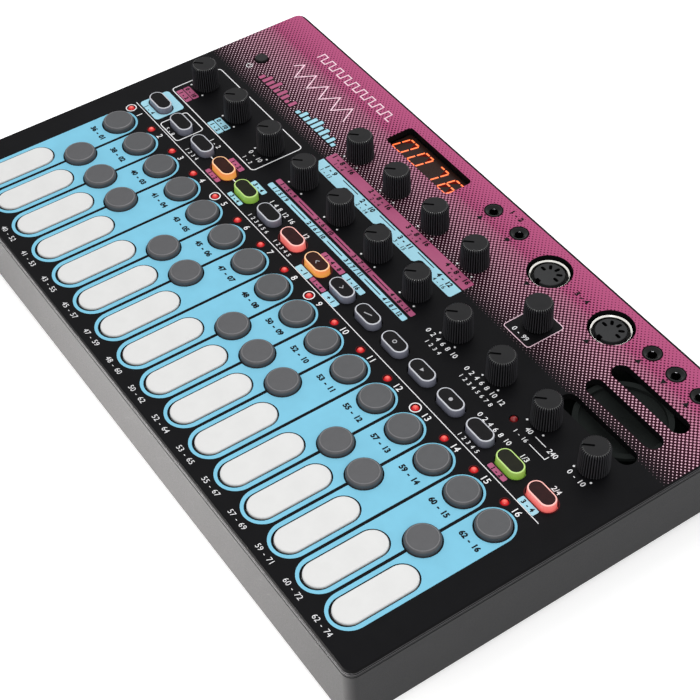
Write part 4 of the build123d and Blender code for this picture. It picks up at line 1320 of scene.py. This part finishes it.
def print_pill_marks(marks):
    """Two arrows, a slash, a ring, a triangle and a dot on the windows of six function buttons."""
    y = PILL_ROW
    back, forward, slash, ring, play, dot = [place[0] for place in PILL_PLACES[MARKED_BUTTONS]]
    marks.line([(back + u, y + v) for u, v in ARROW_MARK], HAIRLINE)
    marks.line([(forward - u, y + v) for u, v in ARROW_MARK], HAIRLINE)
    marks.line([(slash + u, y + v) for u, v in SLASH_MARK], FRAME_LINE)
    for radius in RING_MARK:
        marks.fill(circle(radius, ring, y, MARK_POINTS))
    marks.fill([(play + u, y + v) for u, v in PLAY_MARK])
    marks.fill(circle(DOT_MARK, dot, y, MARK_POINTS))


DIAL_DOT_RADIUS = 0.42
DIAL_DOT_SIDE = 4.5
DIAL_DOT_FRONT = 4.8
DIAL_DOT_POINTS = 16
KNOB_LABEL_Y = 19.2
KNOB_SECOND_LABEL_Y = 15.4

# Knob, and the first and the second row of numbers in front of it
DIAL_NUMBERS = (
    ("mixer_knob_3", "0 - 10", "1 - 2"),
    ("level_knob", "0 2 4 6 8 10", "1 2 3 4"),
    ("effect_knob", "0 2 4 6 8 10 12", "1 2 3 4 5 6 7 8"),
    ("volume_knob", "0 - 10", ""),
)
TEMPO_TOP_SHIFT = 12.9
TEMPO_STEPS_SHIFT = 0.2
TEMPO_DASH = (3.4, 9.2)
TEMPO_BRACKET = ((4.8, 0.0), (13.2, 0.0), (13.2, 1.9))


def print_knob_labels(inks):
    """Dots at the ends of each dial, and the numbers in front of the knobs that stand alone."""
    white = inks["white"]
    for node in POT_KNOBS:
        x, y = middle(node).xy
        for side in (-1, 1):
            dot_x = x + side * DIAL_DOT_SIDE
            white.fill(circle(DIAL_DOT_RADIUS, dot_x, y - DIAL_DOT_FRONT, DIAL_DOT_POINTS))
    for node, first, second in DIAL_NUMBERS:
        x = middle(node).x
        white.number(first, x, KNOB_LABEL_Y, LABEL_HEIGHT, BOLD)
        if second:
            white.number(second, x, KNOB_SECOND_LABEL_Y, SMALL_HEIGHT)
    tempo = middle("tempo_knob").x
    white.number("40", tempo, KNOB_LABEL_Y, LABEL_HEIGHT, BOLD)
    white.number("240", tempo + TEMPO_TOP_SHIFT, KNOB_LABEL_Y, LABEL_HEIGHT, BOLD)
    white.number("1 - 16", tempo + TEMPO_STEPS_SHIFT, KNOB_SECOND_LABEL_Y, SMALL_HEIGHT)
    white.line([(tempo + end, KNOB_LABEL_Y) for end in TEMPO_DASH], HAIRLINE)
    white.line([(tempo + u, KNOB_SECOND_LABEL_Y + v) for u, v in TEMPO_BRACKET], HAIRLINE)


MIXER_PLATE_FRONT = 13.9
MIXER_PLATE_PITCH = 3.4
MIXER_PLATE_DEPTH = 3.0
MIXER_PLATE_ENDS = (-4.2, 4.6)
MIXER_FRAME = (-135.3, -69.8, 13.15, 37.7)
MIXER_CORNER = 1.8


def print_mixer(inks):
    """White frame round the mixer, with the plates in front of its first two knobs."""
    inks["white"].frame(*MIXER_FRAME, MIXER_CORNER, FRAME_LINE)
    for ink, node in (("rose", "mixer_knob_1"), ("ice", "mixer_knob_2")):
        left, right = [middle(node).x + end for end in MIXER_PLATE_ENDS]
        for row, numbers in enumerate(("1 - 2", "0 - 10")):
            front = MIXER_PLATE_FRONT + MIXER_PLATE_PITCH * row
            print_tag(inks, ink, left, right, front, front + MIXER_PLATE_DEPTH, numbers)


BAND_LEFT = -59.5
BAND_RIGHT = 34.1
BAND_REAR = 41.0
BAND_MIDDLE = 38.6
TAB_FRONT = 35.3
TAB_PITCH = 25.65
BAND_CORNER = 1.0
BAND_CORNER_STEPS = 5

# Corners of a tab's sloped left side and of its steep right side, along from the start of the tab
TAB_LEFT = ((0.0, BAND_MIDDLE), (4.2, TAB_FRONT + 0.4), (5.2, TAB_FRONT))
TAB_RIGHT = ((17.9, TAB_FRONT), (18.9, TAB_FRONT + 0.8), (19.4, BAND_MIDDLE - 0.8), (20.6, BAND_MIDDLE))


def band_outline():
    """Blue band with a tab for each knob, sloped on the left and steep on the right."""
    points = [(BAND_LEFT, BAND_REAR)]
    for tab in range(len(SOUND_KNOBS)):
        start = BAND_LEFT + TAB_PITCH * tab
        points += [(start + along, y) for along, y in TAB_LEFT]
        if tab < len(SOUND_KNOBS) - 1:
            points += [(start + along, y) for along, y in TAB_RIGHT]
    corner = (BAND_RIGHT - BAND_CORNER, TAB_FRONT + BAND_CORNER)
    points += arc(BAND_CORNER, -90, 0, BAND_CORNER_STEPS, *corner)
    points.append((BAND_RIGHT, BAND_REAR))
    return points


LOWER_ICE_STRIP = (13.8, 16.3)
LOWER_ROSE_STRIP = (17.6, 20.0)
UPPER_ROSE_STRIP = (41.8, 47.1)
STRIP_ROWS = (15.05, 18.8, 40.0)
STRIP_DASH = (7.6, 18.0)
BAND_ROWS = (39.4, 36.7)
ROSE_ROWS = (45.5, 43.1)


def print_bands(inks):
    """Strips in front of the lower and the upper row of sound knobs, with their numbers and dashes."""
    black = inks["black"]
    inks["ice"].fill(rounded_box(BAND_LEFT, BAND_RIGHT, *LOWER_ICE_STRIP, TAG_CORNER))
    inks["rose"].fill(rounded_box(BAND_LEFT, BAND_RIGHT, *LOWER_ROSE_STRIP, TAG_CORNER))
    inks["ice"].fill(band_outline())
    inks["rose"].fill(rounded_box(BAND_LEFT, BAND_RIGHT, *UPPER_ROSE_STRIP, TAG_CORNER))
    for number, node in enumerate(SOUND_KNOBS, 1):
        x = middle(node).x
        black.number(f"{number} / {number + 4} / {number + 8}", x, STRIP_ROWS[0], SMALL_HEIGHT, BLACK_BOLD)
        black.number(f"{number} - {number + 4} - {number + 8}", x, STRIP_ROWS[1], SMALL_HEIGHT, BLACK_BOLD)
        black.number(f"{number} - {number + 8}", x, BAND_ROWS[0], LABEL_HEIGHT, BLACK_BOLD)
        black.number(f"{number} - {number + 12}", x, BAND_ROWS[1], SMALL_HEIGHT, BOLD)
        black.number(f"{number} - 8 - 16", x, ROSE_ROWS[0], LABEL_HEIGHT, BLACK_BOLD)
        black.number(f"{number} - 4", x, ROSE_ROWS[1], SMALL_HEIGHT, BOLD)
        if number < len(SOUND_KNOBS):
            for y in STRIP_ROWS:
                black.line([(x + end, y) for end in STRIP_DASH], FRAME_LINE)


ENCODER_MARK_Y = 45.5
JACK_MARK_GAP = 6.4
SHIELD_MARK_GAP = 11.6
ARROW_REACH = 1.2
JACK_NUMBER_RISE = 5.4
SHIELD_NUMBER_RISE = 1.0
POWER_SIGN_RADIUS = 1.3
POWER_SIGN_ARC = (125, 415)
POWER_SIGN_STEPS = 16
POWER_SIGN_SHIFT = 0.6
POWER_SIGN_DROP = 6.6
POWER_SIGN_BAR = (6.4, 4.7)

# Half width, reach to the front and to the rear, and corner of the value dial's plate and of its frame
ENCODER_PLATE = (7.2, 10.3, 6.6, 1.2)
ENCODER_FRAME = (7.5, 10.6, 6.9, 1.4)


def print_rear(inks):
    """Plate and frame of the value dial, arrows and numbers at the sockets, and the power sign."""
    black = inks["black"]
    white = inks["white"]
    x, y = middle("value_encoder").xy
    half, front, rear, corner = ENCODER_PLATE
    inks["plate"].fill(rounded_box(x - half, x + half, y - front, y + rear, corner))
    half, front, rear, corner = ENCODER_FRAME
    inks["pale"].frame(x - half, x + half, y - front, y + rear, corner, HAIRLINE)
    white.number("0 - 99", x, ENCODER_MARK_Y, LABEL_HEIGHT, BOLD)
    for number, (u, v) in enumerate(JACK_PLACES + MIDI_PLACES):
        gap = JACK_MARK_GAP if (u, v) in JACK_PLACES else SHIELD_MARK_GAP
        tip = -ARROW_REACH if number % 2 else ARROW_REACH
        arrow = [(-ARROW_REACH, -tip), (ARROW_REACH, -tip), (0.0, tip)]
        black.fill([(u + a, v - gap + b) for a, b in arrow])
    pairs = (("1 - 2", JACK_PLACES[:2], JACK_NUMBER_RISE), ("3 - 4", MIDI_PLACES, SHIELD_NUMBER_RISE))
    for numbers, (left, right), rise in pairs:
        black.number(numbers, (left[0] + right[0]) / 2, left[1] + rise, LABEL_HEIGHT, BLACK_BOLD)
    u, v = middle("power_button").xy
    u += POWER_SIGN_SHIFT
    white.line(arc(POWER_SIGN_RADIUS, *POWER_SIGN_ARC, POWER_SIGN_STEPS, u, v - POWER_SIGN_DROP), HAIRLINE)
    white.line([(u, v - drop) for drop in POWER_SIGN_BAR], HAIRLINE)


METER_FRONT = 47.8
METER_BAR = 1.9
METER_PITCH = 2.9
METER_CORNER = 0.4
METER_OUTLINE = 0.45
METER_OUTLINE_CORNER = 0.6

# Ink, left end and bar heights of each meter
METERS = (
    ("rose", -120.6, (3, 5, 4, 6, 3, 5, 4, 2, 4)),
    ("ice", -91.6, (2, 4, 3, 5, 6, 4, 5, 3, 4, 2)),
)

# Shape, number of cycles, left end, row, and width and height of a cycle of each wave
WAVES = (
    ("triangle", 5, -118.0, 64.5, 9.2, 8.0),
    ("square", 9, -117.0, 77.8, 6.0, 4.0),
)
WAVE_STROKE = 0.55


def print_meters(inks):
    """Two rows of meter bars, one rose and one blue, and two plain waves behind them."""
    edge = METER_OUTLINE
    for ink, left, heights in METERS:
        for number, height in enumerate(heights):
            start = left + METER_PITCH * number
            end = start + METER_BAR
            rear = METER_FRONT + height
            sides = (start - edge, end + edge, METER_FRONT - edge, rear + edge)
            inks["plate"].fill(rounded_box(*sides, METER_OUTLINE_CORNER))
            inks[ink].fill(rounded_box(start, end, METER_FRONT, rear, METER_CORNER))
    for values in WAVES:
        inks["pale"].line(wave(*values), WAVE_STROKE)


def make_print():
    """All the print on the panel and on the buttons, one piece for each ink."""
    inks = {
        "blue": Ink("print_blue", BLUE_INK, PANEL),
        "ice": Ink("print_ice", ICE_INK, PANEL, 1),
        "rose": Ink("print_rose", ROSE_INK, PANEL, 1),
        "glow": Ink("print_painted_glow", PAINTED_GLOW_INK, PANEL),
        "plate": Ink("print_plate", BLACK_INK, PANEL),
        "white": Ink("print_white", WHITE_INK, PANEL, 1),
        "black": Ink("print_black", BLACK_INK, PANEL, 2),
        "pale": Ink("print_pale", PALE_INK, PANEL, 1),
    }
    print_columns(inks)
    print_lamps(inks)
    print_pill_labels(inks)
    print_knob_labels(inks)
    print_mixer(inks)
    print_bands(inks)
    print_rear(inks)
    print_meters(inks)
    for ink in inks.values():
        ink.make()
    marks = Ink("pill_marks", MARK_INK, PILL_TOP - PILL_WINDOW_SINK, 0, "function_buttons", "button_clear")
    print_pill_marks(marks)
    marks.make()


DIGIT_WIDTH = 5.8
DIGIT_HEIGHT = 8.6
DIGIT_PITCH = 10.4
DIGIT_SLANT = math.tan(math.radians(11.7))
DIGIT_STROKE = 0.52
DIGIT_GLOW_STROKE = 1.15
DIGIT_FRONT = 70.7
DIGIT_LEFT = -53.6
SEGMENT_GAP = 0.4
SHOWN_DIGITS = "0076"
SEGMENTS = {"0": "abcdef", "6": "acdefg", "7": "abc"}
SEGMENT_ENDS = {
    "a": [(0, 1), (1, 1)],
    "b": [(1, 0.5), (1, 1)],
    "c": [(1, 0), (1, 0.5)],
    "d": [(0, 0), (1, 0)],
    "e": [(0, 0), (0, 0.5)],
    "f": [(0, 0.5), (0, 1)],
    "g": [(0, 0.5), (1, 0.5)],
}


def make_digits():
    """Lit numerals in the display window."""
    glow = Ink("display_glow", DIGIT_GLOW, DISPLAY_FACE, 0, "chassis", "display")
    ink = Ink("display_digits", DIGIT_ORANGE, DISPLAY_FACE, 1, "chassis", "display")
    for position, digit in enumerate(SHOWN_DIGITS):
        left = DIGIT_LEFT + position * DIGIT_PITCH
        for segment in SEGMENTS[digit]:
            (u0, v0), (u1, v1) = SEGMENT_ENDS[segment]
            halves = 2 if v0 == v1 else 1
            for half in range(halves):
                first = half / halves
                last = (half + 1) / halves
                points = []
                for share, inward in ((first, 1), (last, -1)):
                    u = (u0 + (u1 - u0) * share) * DIGIT_WIDTH + (inward * SEGMENT_GAP if v0 == v1 else 0)
                    v = (v0 + (v1 - v0) * share) * DIGIT_HEIGHT + (0 if v0 == v1 else inward * SEGMENT_GAP)
                    points.append((left + u + v * DIGIT_SLANT, DIGIT_FRONT + v))
                ink.line(points, DIGIT_STROKE)
                glow.line(points, DIGIT_GLOW_STROKE)
    glow.make()
    ink.make()


def finish_frame_pieces():
    """Finishes for the pieces of the frame that stay."""
    finishes = {
        "top_cover": PRINTED_PANEL,
        "bottom_case": CASE,
        "battery_door": CASE,
        "battery_contacts": STEEL,
        "main_board": BOARD_BLACK,
        "key_switches": BLACK_PLASTIC,
        "potentiometers": STEEL,
        "display_module": DISPLAY_BROWN,
        "speaker": SPEAKER_BLACK,
        "rubber_feet": RUBBER,
    }
    for node, material in finishes.items():
        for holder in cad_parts[node].material_slots:
            holder.material = material


CAMERA_PLACE = (0.3876283, -0.2381484, 0.4866706)
CAMERA_AZIMUTH = 57.1221
CAMERA_ELEVATION = 47.0094
CAMERA_ROLL = -1.8035
CAMERA_LENS = 87.0193
CAMERA_SENSOR = 36.0
CAMERA_NEAR = 0.01


def make_camera():
    """The camera at the photograph's viewing angle."""
    camera = bpy.data.cameras.new("camera")
    camera.sensor_width = CAMERA_SENSOR
    camera.lens = CAMERA_LENS
    camera.clip_start = CAMERA_NEAR
    holder = bpy.data.objects.new("camera", camera)
    turn = Matrix.Rotation(math.radians(CAMERA_AZIMUTH), 4, "Z")
    tilt = Matrix.Rotation(math.radians(90 - CAMERA_ELEVATION), 4, "X")
    roll = Matrix.Rotation(math.radians(CAMERA_ROLL), 4, "Z")
    holder.matrix_world = Matrix.Translation(CAMERA_PLACE) @ turn @ tilt @ roll
    bpy.context.scene.collection.objects.link(holder)
    bpy.context.scene.camera = holder


AMBIENT = 0.66
FLOOR_GLOW = 0.42
FLOOR_REACH = 3.0
FLOOR_CLOUD = 40.0
FLOOR_TONES = (srgb(246, 246, 246), srgb(250, 250, 250))

WARM = (1.0, 0.965, 0.92)
NEUTRAL = (1.0, 1.0, 1.0)
PURE_WHITE = (1.0, 1.0, 1.0, 1.0)

# Name, place, width, height, power and colour of each light; all point at the origin
LIGHTS = (
    ("key_light", (-0.35, 0.35, 1.1), 0.9, 0.9, 4.2, NEUTRAL),
    ("front_light", (0.0, -0.26, 0.005), 0.3, 0.008, 2.6, WARM),
    ("camera_light", (0.542, -0.333, 0.672), 0.12, 0.12, 1.4, NEUTRAL),
)


def make_studio():
    """Even white surroundings, the lights and a pale floor."""
    scene = bpy.context.scene
    scene.view_settings.view_transform = "Standard"
    world = Shader(bpy.data.worlds.new("studio"), "Background")
    level = world.remap(world.seen(), 0.0, 1.0, AMBIENT, 1.0)
    scene.world = world.finish(Color=PURE_WHITE, Strength=level)

    for name, place, width, height, power, colour in LIGHTS:
        lamp = bpy.data.lights.new(name, "AREA")
        lamp.shape = "ELLIPSE"
        lamp.size = width
        lamp.size_y = height
        lamp.energy = power
        lamp.color = colour
        holder = bpy.data.objects.new(name, lamp)
        holder.location = place
        holder.rotation_euler = (-Vector(place)).to_track_quat("-Z", "Y").to_euler()
        holder.visible_camera = False
        scene.collection.objects.link(holder)

    mesh = bpy.data.meshes.new("floor")
    corners = [(u * FLOOR_REACH, v * FLOOR_REACH, 0.0) for u, v in ((-1, -1), (1, -1), (1, 1), (-1, 1))]
    mesh.from_pydata(corners, [], [(0, 1, 2, 3)])
    shader = new_material("floor_white")
    grain = shader.noise(FLOOR_CLOUD)
    mesh.materials.append(
        shader.finish(
            Base_Color=shader.mix(grain, *FLOOR_TONES),
            Roughness=0.9,
            Specular_IOR_Level=0.0,
            Emission_Color=PURE_WHITE,
            Emission_Strength=shader.remap(shader.seen(), 0.0, 1.0, 0.0, FLOOR_GLOW),
        )
    )
    floor = bpy.data.objects.new("floor", mesh)
    scene.collection.objects.link(floor)


make_keys()
make_pills()
make_knobs()
make_lamps()
make_jacks()
make_round_sockets()
make_screws()
make_print()
make_digits()
finish_frame_pieces()
make_camera()
make_studio()
